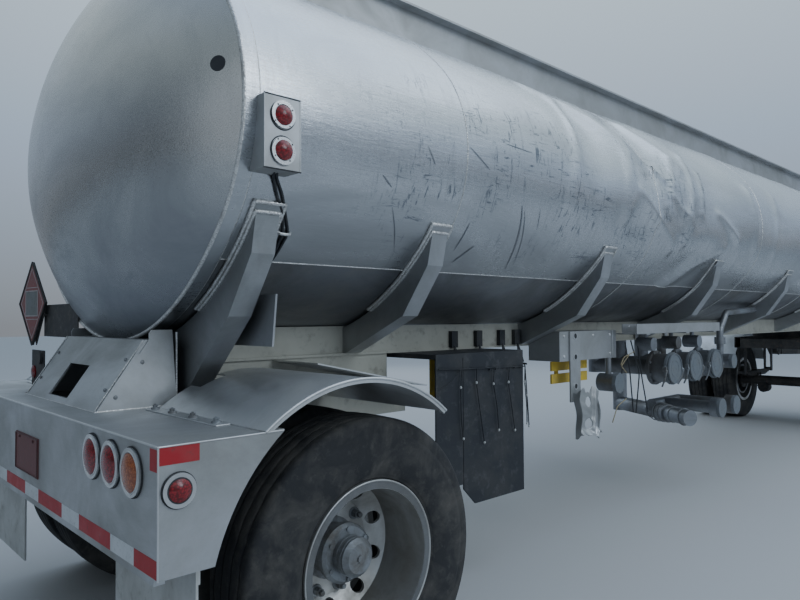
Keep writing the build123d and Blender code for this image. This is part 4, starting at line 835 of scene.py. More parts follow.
@dataclass
class TankSkin:
    """Sheets, heads and seams of the tank.

    Attributes:
        lap_height: height of the lap seam where the belly sheets, dark with painted shade, start.
        lap: how far the side sheets stand over the belly's.
        sheet: length of one sheet.
        first_seam: station of the first round seam.
        rows: points along the shell.
        columns: points round it.
    """

    lap_height: float = 1.624
    lap: float = 0.004
    sheet: float = 1.83
    first_seam: float = 1.467
    rows: int = 330
    columns: int = 190

    def build(self) -> None:
        """Make the shell, the heads, the seams, the spot and the scuffs."""
        self.shell()
        self.heads()
        self.seams()
        self.spot()
        self.marks()

    def shell(self) -> None:
        """Barrel: the form's skin on a grid, a step lower below the lap seam, where the belly
        sheets take a dark finish that is painted shade.
        """
        edges = np.array([FORM.angle_at(self.lap_height, side) % (2 * np.pi) for side in Side])
        angle = np.linspace(0, 2 * np.pi, self.columns, endpoint=False)
        step = 0.001
        angle = np.sort(np.concatenate((angle, edges - step, edges + step)))
        station = np.linspace(FORM.start + 0.02, FORM.end - 0.02, self.rows)
        belly = (angle > edges.min()) & (angle < edges.max())
        points = FORM.skin(station[:, None], angle[None, :])
        normal = np.stack((np.zeros_like(angle), np.cos(angle), np.sin(angle)), -1)
        points = points - np.where(belly, self.lap, 0.0005)[None, :, None] * normal[None]
        faces = quads(len(station), len(angle), False, True)
        # Faces of the belly sheets, which get the dark painted-shade finish
        dark = (belly | np.roll(belly, -1))[faces[:, 0] % len(angle)]
        shape = Shape()
        shape.add(points, [faces], 0)
        shape.marks = [dark.astype(int)]
        thing = shape.make("tank_barrel", ("tank_aluminium", "belly_shaded_aluminium"), angle=50,
                           turn_out=False)
        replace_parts(thing, "tank_shell")

    def heads(self) -> None:
        """Both dished heads, closed by a small many-sided face in the middle."""
        shape, spokes, rings = Shape(), 160, 40
        angle = np.linspace(0, 2 * np.pi, spokes, endpoint=False)
        share = np.sin(np.linspace(np.pi / 2, 0.02, rings))
        for front in (False, True):
            points = FORM.head(share[:, None], angle[None, :], front)
            faces = [quads(rings, spokes, False, True),
                     np.arange(spokes)[None] + (rings - 1) * spokes]
            shape.add(points, faces if front else [block[:, ::-1] for block in faces])
        thing = shape.make("tank_heads", ("head_aluminium",), angle=60, turn_out=False)
        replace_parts(thing, "tank_shell")

    def seams(self) -> None:
        """Weld beads: round seams between sheets, the two lap seams and both head seams."""
        shape = Shape()
        angle = np.linspace(0, 2 * np.pi, 220, endpoint=False)
        for station in np.arange(self.first_seam, FORM.end - 0.2, self.sheet):
            shape.tube(FORM.skin(station, angle, -0.002), 0.004, 6, closed=True)
        along = np.linspace(FORM.start + 0.05, FORM.end - 0.05, 320)
        for side in Side:
            shape.tube(FORM.skin(along, FORM.angle_at(self.lap_height, side), -0.0015), 0.0035, 6)
        for station, way in ((FORM.start, -1), (FORM.end, 1)):
            for shift, lift, size in ((0.001, 0.004, 0.0085), (-0.052, 0.003, 0.0070)):
                shape.tube(FORM.skin(station + way * shift, angle, lift), size, 8, closed=True)
        shape.make("tank_weld_seams", ("weld_bead",), angle=80)

    def spot(self) -> None:
        """Blank dark disc stuck on the rear head near its seam on the right."""
        turn = np.linspace(0, 2 * np.pi, 32, endpoint=False)
        angle = FORM.angle_at(2.267) + 0.030 * np.sin(turn) / FORM.corner
        share = 0.925 + 0.024 * np.cos(turn)
        rim = FORM.head(share, angle, False, 0.0015)
        Shape().prism(rim, (0.004, 0, 0)).make("head_spot", ("black_rubber",))

    def marks(self) -> None:
        """Dark scuffs on the right side: thin tapered ribbons that lie on the skin.

        A ribbon's half width is its full half width times the square root of the sine of pi
        times the share of its length.
        """
        # Scuffs: station and height at each end, width
        scuffs = ((1.90, 1.95, 2.02, 1.66, 0.012), (1.93, 1.93, 2.06, 1.68, 0.006),
                  (1.08, 1.86, 1.20, 1.70, 0.006), (1.57, 1.84, 1.56, 1.72, 0.006),
                  (1.60, 1.67, 1.68, 1.75, 0.008), (0.99, 1.97, 1.05, 1.93, 0.010),
                  (1.74, 2.22, 1.95, 2.21, 0.005), (1.48, 2.16, 1.62, 2.08, 0.007),
                  (1.22, 2.12, 1.27, 2.05, 0.009), (2.05, 1.95, 2.08, 1.85, 0.004))
        shape, share = Shape(), np.linspace(0, 1, 24)
        for u0, z0, u1, z1, width in scuffs:
            station = u0 + (u1 - u0) * share
            heights = z0 + (z1 - z0) * share
            bend = np.array([FORM.angle_at(z) for z in heights])
            half = width / 2 * np.sqrt(np.sin(np.pi * np.clip(share, 0.02, 0.98)))
            along, across = (1, 0.3) if abs(u1 - u0) < abs(z1 - z0) else (0.3, 1)
            rows = [FORM.skin(station + way * half * along,
                              bend + way * half * across / FORM.corner, 0.0012)
                    for way in (1, 0, -1)]
            shape.add(np.stack(rows, 1), [quads(len(share), 3)])
        thing = shape.make("shell_scuffs", ("scuff_dark",), turn_out=False)
        thing.visible_shadow = False


@dataclass
class CradleWelds:
    """Weld beads round the pads and along the arms.

    Attributes:
        stations: rear edge of each arm.
        width: width of an arm.
        overhang: how far a pad stands out past the arm.
        pad: thickness of a pad.
        pad_top: height of a pad's upper edge.
        arm_top: height of an arm's upper edge.
        low_angle: normal angle, below level, where the pads end underneath.
    """

    stations: tuple[float, ...] = (0.470, 1.351, 2.800, 4.400, 6.000, 7.600, 9.100)
    width: float = 0.096
    overhang: float = 0.016
    pad: float = 0.008
    pad_top: float = 1.817
    arm_top: float = 1.785
    low_angle: float = 63.2

    def build(self) -> None:
        """Make the beads of both sides."""
        shape = Shape()
        for side in Side:
            for station in self.stations:
                low, high = station - self.overhang, station + self.width + self.overhang
                self.loop(shape, side, low, high, self.pad_top, 0.0040, 0.0085)
                low, high = station - 0.003, station + self.width + 0.003
                self.loop(shape, side, low, high, self.arm_top + 0.004, self.pad + 0.002, 0.0078)
        shape.make("cradle_welds", ("weld_bead",), angle=80)

    def loop(self, shape: Shape, side: Side, low: float, high: float, top: float, lift: float,
             size: float) -> None:
        """Bead up one edge, over the top and down the other edge.

        Args:
            shape: where the bead goes.
            side: side of the tank.
            low: station of the rear edge.
            high: station of the front edge.
            top: height of the upper edge.
            lift: height over the shell.
            size: radius of the bead.
        """
        upper = FORM.angle_at(top, side)
        under = math.radians(self.low_angle)
        lower = -under if side is Side.LEFT else math.pi + under
        rise = np.linspace(lower, upper, 50)
        cross = np.linspace(low, high, 10)[1:-1]
        station = np.concatenate((np.full_like(rise, low), cross, np.full_like(rise, high)))
        angle = np.concatenate((rise, np.full_like(cross, upper), rise[::-1]))
        shape.tube(FORM.skin(station, angle, lift), size, 7)


@dataclass
class Tyre:
    """Worn road tyre: ribs parted by wavy grooves, rounded shoulders and plain sidewalls.

    Attributes:
        radius: tread radius.
        width: widest section.
        bead: radius at the rim flange.
        seat: radius at the rim's seat.
        groove: depth of the tread grooves.
        steps: points round the tyre.
    """

    radius: float = 0.525
    width: float = 0.262
    bead: float = 0.2988
    seat: float = 0.2765
    groove: float = 0.009
    steps: int = 168

    def profile(self) -> Array:
        """Rows of (across, radius, sway): the section from one bead over the tread to the other.

        Half of it is listed and mirrored; sway says how much a row follows the grooves' waves.
        """
        half, top = self.width / 2, self.radius
        bead = self.bead
        side = [(0.1015, self.seat, 0), (0.1020, bead - 0.004, 0), (0.1080, bead + 0.003, 0),
                (0.1130, bead + 0.006, 0), (0.1150, bead + 0.014, 0), (0.1170, bead + 0.016, 0),
                (0.1190, bead + 0.019, 0), (0.1240, bead + 0.040, 0),
                (half - 0.0012, bead + 0.066, 0), (half - 0.0002, bead + 0.085, 0),
                (half - 0.0014, bead + 0.110, 0), (0.1275, top - 0.075, 0),
                (0.1262, top - 0.060, 0), (0.1246, top - 0.057, 0), (0.1250, top - 0.054, 0),
                (0.1225, top - 0.036, 0), (0.1200, top - 0.022, 0), (0.1150, top - 0.0115, 0),
                (0.1080, top - 0.0055, 0), (0.1010, top - 0.0030, 0)]
        tread = []
        for centre, wide in ((0.0760, 0.0090), (0.0270, 0.0085)):
            crown = top - 0.0030 * (centre / 0.100) ** 2
            for way, edge in ((1, centre + wide / 2), (-1, centre - wide / 2)):
                wall = [(edge + way * 0.0025, crown, 1), (edge, crown - 0.0015, 1),
                        (edge - way * 0.0015, crown - self.groove, 1)]
                tread += wall[::way]
        rows = np.array(side + tread)
        other = rows[::-1] * (-1, 1, 1)
        return np.concatenate((rows, [(0.0, top, 0)], other))

    def add(self, shape: Shape, centre: Triple) -> None:
        """Put the tyre in a shape.

        A point at turn t lies at across + sway times a triangle wave of t beside the middle plane,
        and at its radius from the axle; between the bead rows the section closes on itself.
        """
        rows = self.profile()
        turn = np.linspace(0, 2 * np.pi, self.steps, endpoint=False)
        wave = np.abs((turn * 28 / (2 * np.pi)) % 1 - 0.5) * 4 - 1
        across = rows[:, :1] + rows[:, 2:] * 0.0022 * wave
        radius = np.broadcast_to(rows[:, 1:2], across.shape)
        points = np.stack((radius * np.cos(turn), across, radius * np.sin(turn)), -1)
        shape.add(points + np.asarray(centre), [quads(len(rows), self.steps, True, True)])


@dataclass
class Wheels:
    """The four twin pairs: tyres, stud ends, washers, oil cap details and rim lips.

    Attributes:
        outer: distance of the outer tyre's middle from the trailer's.
        inner: the same of the inner tyre.
        face: where the nuts stand on the outer disc.
        rim: where the outer rim ends.
        studs: radius of the studs' circle.
        cap: how far the oil cap stands out from the face.
        cap_bolts: radius of the circle of the cap's bolts.
        washer: profile of a washer.
        stud: profile of a stud's end.
        plug: profile of the cap's filler plug.
        lip: profile of the rim's rounded edge.
        well: profile of the ring inside it, darker as painted shade.
    """

    outer: float = 1.048
    inner: float = 0.710
    face: float = 0.893
    rim: float = 1.165
    studs: float = 0.1675
    cap: float = 0.130
    cap_bolts: float = 0.093
    washer: Profile = ((0.0003, 0.0245), (0.0035, 0.0245), (0.0048, 0.0225), (0.0048, 0.005))
    stud: Profile = ((0.0305, 0.004), (0.0305, 0.0104), (0.0440, 0.0104), (0.0458, 0.0085),
                     (0.0458, 0.001))
    plug: Profile = ((0.0735, 0.002), (0.0735, 0.016), (0.0800, 0.015), (0.0800, 0.001))
    lip: Profile = ((0.0002, 0.2905), (0.0016, 0.2912), (0.0034, 0.2930), (0.0042, 0.2953),
                    (0.0034, 0.2974), (0.0016, 0.2984), (0.0002, 0.2984))
    well: Profile = ((0.0002, 0.2660), (0.0014, 0.2660), (0.0008, 0.2780), (0.0014, 0.2904),
                     (0.0002, 0.2904))

    def build(self) -> None:
        """Dress every pair."""
        for end, station in (("rear", AXLE_REAR), ("front", AXLE_FRONT)):
            for side in Side:
                name = f"{end}_{side.name.lower()}"
                self.tyres(name, at(station), side)
                self.trim(name, at(station), side)

    def tyres(self, name: str, x: float, side: Side) -> None:
        """Both tyres of a pair."""
        shape = Shape()
        for y in (self.outer, self.inner):
            Tyre().add(shape, (x, side.value * y, AXLE_HEIGHT))
        thing = shape.make(f"{name}_tyre_rubber", ("tyre_rubber",), f"{name}_wheels", angle=38)
        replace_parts(thing, f"{name}_tyres")

    def trim(self, name: str, x: float, side: Side) -> None:
        """Stud ends and washers; the oil cap's ribs, filler plug and bolts.

        Args:
            name: which pair it is.
            x: where its axle is.
            side: side that it is on.
        """
        way = side.value
        shape = Shape()
        for u, w in around(self.studs, 10):
            place = (x + u, way * self.face, AXLE_HEIGHT + w)
            shape.lathe(self.washer, place, "Y", 20, way=way)
            shape.lathe(self.stud, place, "Y", 14, way=way)
        barrel = (x, way * (self.face + self.cap), AXLE_HEIGHT)
        for start in (0.016, 0.040):
            shape.lathe(band(start, start + 0.006, 0.0715, 0.0745), barrel, "Y", 48, way=way)
        shape.lathe(self.plug, barrel, "Y", 6, way=way)
        for u, w in around(self.cap_bolts, 6, 0.5):
            shape.lathe(band(-0.001, 0.007, 0.001, 0.0085), (x + u, barrel[1], AXLE_HEIGHT + w),
                        "Y", 6, way=way)
        shape.make(f"{name}_wheel_trim", ("hub_steel",), f"{name}_wheels", angle=30)
        self.rim_edge(name, x, side)

    def rim_edge(self, name: str, x: float, side: Side) -> None:
        """Rounded bright lip of the outer rim, and the well inside it, darker as painted shade."""
        shape = Shape()
        centre = (x, side.value * self.rim, AXLE_HEIGHT)
        for mark, profile in enumerate((self.lip, self.well)):
            shape.lathe(profile, centre, "Y", 96, mark, True, side.value)
        shape.make(f"{name}_rim_lip", ("wheel_aluminium", "rim_well_shade"), f"{name}_wheels", angle=60)


@dataclass
class RearBoxTrim:
    """Reflective tape, rolled edges, welds, screws and lamp gaskets of the rear box and hood.

    Attributes:
        low: height of the box's lower edge.
        tape: height of the reflective tape.
        margin: how far the tape ends inside the box's corners.
        thick: thickness of the tape.
        first: length of the first red piece, cut at the right corner.
        red: length of a red piece.
        white: length of a white piece.
        hood: half width of the hood's foot.
        hood_front: station of the hood's front edge.
        slope: length and height of the hood's slope.
        plate: Y and height of two corners of the blank plate.
    """

    low: float = 0.713
    tape: float = 0.050
    margin: float = 0.004
    thick: float = 0.0008
    first: float = 0.154
    red: float = 0.279
    white: float = 0.178
    hood: float = 0.452
    hood_front: float = 0.430
    slope: tuple[float, float] = (0.180, 0.262)
    plate: Profile = ((-0.196, 0.802), (0.109, 0.954))

    def build(self) -> None:
        """Make every piece."""
        self.tapes()
        self.edges()
        self.screws()
        self.gaskets()
        self.plate_edge()
        Placard().build()

    def tapes(self) -> None:
        """Tape along the rear's lower edge from the right corner, and red corner pieces above."""
        rear, end_y = at(0.0), SIDE_FACE - self.margin
        low = self.low + 0.003
        shape = Shape()
        y, mark, length = -SIDE_FACE + self.margin, 0, self.first
        while y < end_y:
            end = min(y + length, end_y)
            shape.box((rear - self.thick, y, low), (rear, end, low + self.tape), mark)
            y, mark = end, 1 - mark
            length = self.white if mark else self.red
        for side in Side:
            way = side.value
            face = way * SIDE_FACE
            shape.box((rear - self.thick, face - way * self.margin, 1.000),
                      (rear, face - way * 0.052, 1.060))
            shape.box((rear + 0.002, face, 1.018), (rear + 0.118, face + way * self.thick, 1.066))
        shape.make("reflective_tape", ("tape_red", "tape_white"))

    def edges(self) -> None:
        """Bright rounded folds of the box and the weld along the hood's foot."""
        rear, side, deck = at(0.0), SIDE_FACE, DECK
        shape, weld = Shape(), Shape()
        shape.tube(line((rear, -side, deck), (rear, side, deck)), 0.0035, 8)
        for way in (-1, 1):
            shape.tube(line((rear, way * side, self.low), (rear, way * side, deck)), 0.003, 8)
            shape.tube(line((rear, way * side, deck), (at(0.394), way * side, deck)), 0.0028, 8)
            for start, end, radius, sides in (
                    ((0.115, self.hood, 0.001), (self.hood_front, self.hood, 0.001), 0.0055, 8),
                    ((0.120, 0.440, 0.004), (0.296, 0.450, 0.262), 0.0025, 6),
                    ((self.hood_front, 0.450, 0), (self.hood_front, 0.450, 0.290), 0.005, 8)):
                ends = [(at(u), way * y, deck + up) for u, y, up in (start, end)]
                weld.tube(line(*ends), radius, sides)
        shape.make("box_folds", ("fender_aluminium",), angle=80)
        foot = at(0.116)
        weld.tube(line((foot, -0.45, deck + 0.001), (foot, 0.45, deck + 0.001)), 0.0022, 6)
        weld.make("hood_welds", ("weld_bead",), angle=80)

    def screws(self) -> None:
        """Round heads on the hood's slope and sides, and the bolts along the fender flange."""
        shape, strip = Shape(), Shape()
        run, rise = self.slope
        slope = np.array((run, 0.0, rise)) / math.hypot(run, rise)
        outward = np.array((-rise, 0.0, run)) / math.hypot(run, rise)
        for up in (0.090, 0.225):
            for y in (-0.405, 0.405):
                foot = np.array((at(0.120), y, DECK)) + slope * up + outward * 0.002
                shape.ball(foot, (0.0065, 0.0075, 0.0075))
        for x, z in ((0.291, 1.245), (0.190, 1.118)):
            for way in (-1, 1):
                shape.ball((at(x), way * self.hood, z), (0.010, 0.006, 0.010))
        head = ((-0.004, 0.016), (0.003, 0.016), (0.003, 0.010), (0.013, 0.010), (0.013, 0.001))
        for way in (-1, 1):
            near, far = sorted((way * 0.515, way * 1.060))
            strip.box((at(0.278), near, DECK + 0.0005), (at(0.330), far, DECK + 0.0045))
            for y in (0.545, 0.690, 0.850, 1.015):
                shape.lathe(head, (at(0.304), way * y, DECK + 0.008), "Z", 12)
                shape.ball((at(0.304), way * y, DECK + 0.018), (0.004, 0.015, 0.007))
        strip.make("fender_flanges", ("fender_aluminium",), bevel=0.001)
        shape.make("box_screws", ("hub_steel",), angle=40)

    def gaskets(self) -> None:
        """Dark gaskets behind the lamp rings and a bright lip on each ring."""
        dark, lip = Shape(), Shape()
        edge = ((-0.009, 0.0545), (-0.0125, 0.0575), (-0.0125, 0.0600), (-0.009, 0.0625))
        for y in LAMPS:
            for way in (-1, 1):
                centre = (at(0.0), way * y, LAMP_HEIGHT)
                dark.lathe(band(-0.0002, -0.004, 0.060, 0.0735), centre, "X", 48, loop=True)
                lip.lathe(edge, centre, "X", 48, loop=True)
        bezel = ((0.0075, 0.0315), (0.0095, 0.0325), (0.0095, 0.0355), (0.0075, 0.0365))
        for way in (-1, 1):
            centre = (at(MARKER_STATION), way * SIDE_FACE, MARKER_HEIGHT)
            for profile in (band(0.0002, 0.003, 0.040, 0.0510), bezel):
                dark.lathe(profile, centre, "Y", 48, loop=True, way=way)
        dark.make("lamp_gaskets", ("black_rubber",))
        lip.make("lamp_lips", ("lamp_chrome",))

    def plate_edge(self) -> None:
        """Raised rim and two bolts of the blank rear plate."""
        (low_y, low_z), (high_y, high_z) = self.plate
        inset, rear = 0.004, at(0.0) - 0.006
        shape = Shape()
        (y0, z0), (y1, z1) = (low_y + inset, low_z + inset), (high_y - inset, high_z - inset)
        shape.tube(line((rear, y0, z0), (rear, y1, z0), (rear, y1, z1), (rear, y0, z1),
                        (rear, y0, low_z + 0.005)), 0.0022, 6)
        for y in (-0.135, 0.048):
            shape.ball((rear, y, 0.938), (0.004, 0.0055, 0.0055))
        shape.make("plate_rim", ("plate_rim",), angle=60)


@dataclass
class Placard:
    """Faded blank diamond on the left arm: dark holder, reddish sheet, pale lines, grey middle.

    Every outline is the sum of the centre, its share across times the plate's width vector and
    its share up times the upright vector; the plate is turned a little towards the right.

    Attributes:
        middle: station, Y and height of its centre.
        turn: how far it is turned, in degrees.
        half: half its width.
        tall: half its height.
        sheet: share of the plate that the reddish sheet covers.
        frame: share where the pale line runs round it.
        field: half width and half height of the grey middle, as shares.
        level: height of the two cross lines, as a share.
        print_lift: how far the lines and the middle stand over the plate.
    """

    middle: Triple = (0.310, 1.088, 1.500)
    turn: float = 4.0
    half: float = 0.194
    tall: float = 0.230
    sheet: float = 0.92
    frame: float = 0.84
    field: tuple[float, float] = (0.46, 0.30)
    level: float = 0.38
    print_lift: float = 0.0042

    @property
    def out(self) -> Array:
        """Direction that the plate faces."""
        turn = math.radians(self.turn)
        return np.array((-math.cos(turn), -math.sin(turn), 0.0))

    def outline(self, corners: Sequence[tuple[float, float]], lift: float) -> Array:
        """Corners given as shares across and up, at a height over the plate's middle."""
        turn, station = math.radians(self.turn), self.middle[0]
        across = np.array((math.sin(turn), -math.cos(turn), 0.0)) * self.half
        up = np.array((0.0, 0.0, self.tall))
        middle = np.array((at(station), *self.middle[1:]))
        return np.array([middle + u * across + v * up for u, v in corners]) + self.out * lift

    def rim(self, shape: Shape, corners: Sequence[tuple[float, float]], lift: float, radius: float,
            sides: int = 4) -> None:
        """Round bars from each corner to the next one."""
        for first, last in zip(corners, [*corners[1:], corners[0]]):
            shape.tube(line(*self.outline((first, last), lift)), radius, sides)

    def build(self) -> None:
        """Make the holder, the sheet with its grey middle, and the lines."""
        def diamond(size: float) -> list[tuple[float, float]]:
            """Four corners of a diamond of this share of the plate."""
            return [(size, 0), (0, size), (-size, 0), (0, -size)]

        out, (wide, high) = self.out, self.field
        field = [(wide, -high), (wide, high), (-wide, high), (-wide, -high)]
        holder, face, lines = Shape(), Shape(), Shape()
        holder.prism(self.outline(diamond(1.0), -0.008), out * 0.011)
        self.rim(holder, diamond(1), 0.004, 0.004, 6)
        face.prism(self.outline(diamond(self.sheet), 0.003), out * 0.0012, 0)
        face.prism(self.outline(field, self.print_lift), out * 0.0010, 1)
        self.rim(lines, diamond(self.frame), self.print_lift, 0.0022)
        self.rim(lines, field, self.print_lift + 0.001, 0.0030)
        for level in (-self.level, self.level):
            ends = self.outline(((0.45, level), (-0.45, level)), self.print_lift)
            lines.tube(line(*ends), 0.0022, 4)
        holder.make("placard_holder", ("placard_black",))
        face.make("placard_face", ("placard_red", "placard_grey"))
        lines.make("placard_lines", ("placard_line",), angle=60)


@dataclass
class Lenses:
    """Domed lenses of every lamp, flatter than the plain solids that they stand for.

    Attributes:
        rise: height of a dome over its own rim, as a share of its radius.
        rim: depth of the straight rim under the dome.
    """

    rise: float = 0.22
    rim: float = 0.006

    def build(self) -> None:
        """Make the red and the amber lenses."""
        red, amber = Shape(), Shape()
        rear, flat = at(0.0) - 0.006, 0.40
        for way in (-1, 1):
            for y in LAMPS[1:]:
                self.dome(red, (rear, way * y, LAMP_HEIGHT), "X", -1, 0.055)
            self.dome(amber, (rear, way * LAMPS[0], LAMP_HEIGHT), "X", -1, 0.055)
            self.dome(red, (at(MARKER_STATION), way * (SIDE_FACE + 0.004), MARKER_HEIGHT), "Y", way,
                      0.032, flat)
            for z in (1.964, 2.079):
                self.dome(red, (at(SHELL_LAMP), way * 1.154, z), "Y", way, 0.033, flat)
        self.dome(red, (at(0.205), 0.650, 1.154), "X", -1, 0.032)
        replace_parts(red.make("lamp_lenses_red", ("red_lens",), angle=50), "lenses_red")
        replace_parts(amber.make("lamp_lenses_amber", ("amber_lens",), angle=50), "lenses_amber")

    def dome(self, shape: Shape, centre: Sequence[float], axis: str, way: int, radius: float,
             rise: float = 0.0) -> None:
        """One lens: a straight rim, then a dome as high as rise times radius times 1 - s squared.

        Args:
            shape: where the lens goes.
            centre: middle of its foot.
            axis: axis that it faces along.
            way: 1 towards the axis's plus side, -1 towards its minus side.
            radius: radius of the lens.
            rise: height of the dome as a share of the radius, or nothing for the usual one.
        """
        share = np.linspace(1, 0.04, 12)
        height = self.rim + (rise or self.rise) * radius * (1 - share ** 2)
        profile = np.concatenate(([(0.0, radius)], np.stack((height, share * radius), -1)))
        shape.lathe(profile, centre, axis, 40, way=way)


@dataclass
class ShellLampTrim:
    """Screws, dark edges and cables of the two lamp boxes on the shell.

    Attributes:
        outer: how far the boxes' faces are from the middle.
        start: station of their rear edge.
        end: station of their front edge.
        low: height of their lower edge.
        high: height of their upper edge.
        route: stations and heights of the cables on the shell.
        clip: stations and lifts of the clip over them.
    """

    outer: float = 1.150
    start: float = 0.400
    end: float = 0.540
    low: float = 1.900
    high: float = 2.143
    route: Profile = ((0.500, 1.900), (0.530, 1.850), (0.585, 1.783), (0.615, 1.729),
                      (0.622, 1.669), (0.600, 1.560))
    clip: Profile = ((0.592, 0.002), (0.600, 0.014), (0.620, 0.017), (0.640, 0.014), (0.648, 0.002))

    def build(self) -> None:
        """Dress both boxes; the cables are held from the box to behind the first arm."""
        screws, dark, rings = Shape(), Shape(), Shape()
        for side in Side:
            way = side.value
            face = way * self.outer
            for z in (self.low + 0.064, self.high - 0.064):
                for angle in np.radians((35, 125, 215, 305)):
                    place = (at(SHELL_LAMP) + 0.040 * math.cos(angle), way * (self.outer + 0.008),
                             z + 0.040 * math.sin(angle))
                    screws.ball(place, (0.003, 0.0022, 0.003), 0, 8)
                ring = band(0.0002, 0.0018, 0.0455, 0.0490)
                dark.lathe(ring, (at(SHELL_LAMP), face, z), "Y", 40, loop=True, way=way)
            for z in (self.low, self.high):
                dark.tube(line((at(self.start) - 0.002, face, z), (at(self.end) + 0.002, face, z)),
                          0.0026, 8)
            for x in (0.425, 0.505):
                screws.ball((at(x), way * (self.outer - 0.03), self.high + 0.003),
                            (0.010, 0.010, 0.006))
            for x in (self.start, self.end):
                rings.tube(line((at(x), face, self.low), (at(x), face, self.high)), 0.0022, 8)
        screws.make("shell_lamp_screws", ("black_steel",))
        dark.make("shell_lamp_edges", ("black_rubber",))
        rings.make("shell_lamp_folds", ("fender_aluminium",), angle=80)
        self.cables()

    def cables(self) -> None:
        """Two black cables from the right box, past a bright clip, to behind the gusset."""
        shape = Shape()
        for shift in (0.0, 0.012):
            points = [(at(SHELL_LAMP + shift), -1.100, 1.905)]
            points += [FORM.skin(u + shift * (1 + index % 2), FORM.angle_at(z), 0.006)
                       for index, (u, z) in enumerate(self.route)]
            shape.tube(curve(*points, count=48), 0.0055, 8)
        shape.make("shell_lamp_cables", ("black_rubber",), angle=80)
        clip = Shape()
        bend = FORM.angle_at(1.729)
        clip.tube(np.stack([FORM.skin(u, bend, lift) for u, lift in self.clip]), 0.006, 8)
        clip.make("cable_clip", ("fender_aluminium",))


@dataclass
class FenderTrim:
    """Rolled lips along the outer edges of the rear fenders and across their front ends.

    Attributes:
        radius: radius of the fender's edge.
        centre: station of its middle.
        height: height of its middle.
        angles: where the edge starts and ends, in degrees from ahead.
    """

    radius: float = 0.625
    centre: float = 0.720
    height: float = 0.578
    angles: tuple[float, float] = (50.0, 128.4)

    def build(self) -> None:
        """Lip: centre plus radius times the cosine along X and the sine up."""
        shape = Shape()
        turn = np.radians(np.linspace(*self.angles, 60))
        reach = self.radius + 0.001
        for way in (-1, 1):
            path = np.stack((at(self.centre) + reach * np.cos(turn), np.full(60, way * SIDE_FACE),
                             self.height + reach * np.sin(turn)), -1)
            shape.tube(path, 0.0052, 8)
            end = path[0] - (0, way * 0.006, 0.0)
            shape.tube(line(end, end - (0, way * 0.735, 0)), 0.004, 8)
        shape.make("fender_lips", ("fender_aluminium",), angle=80)


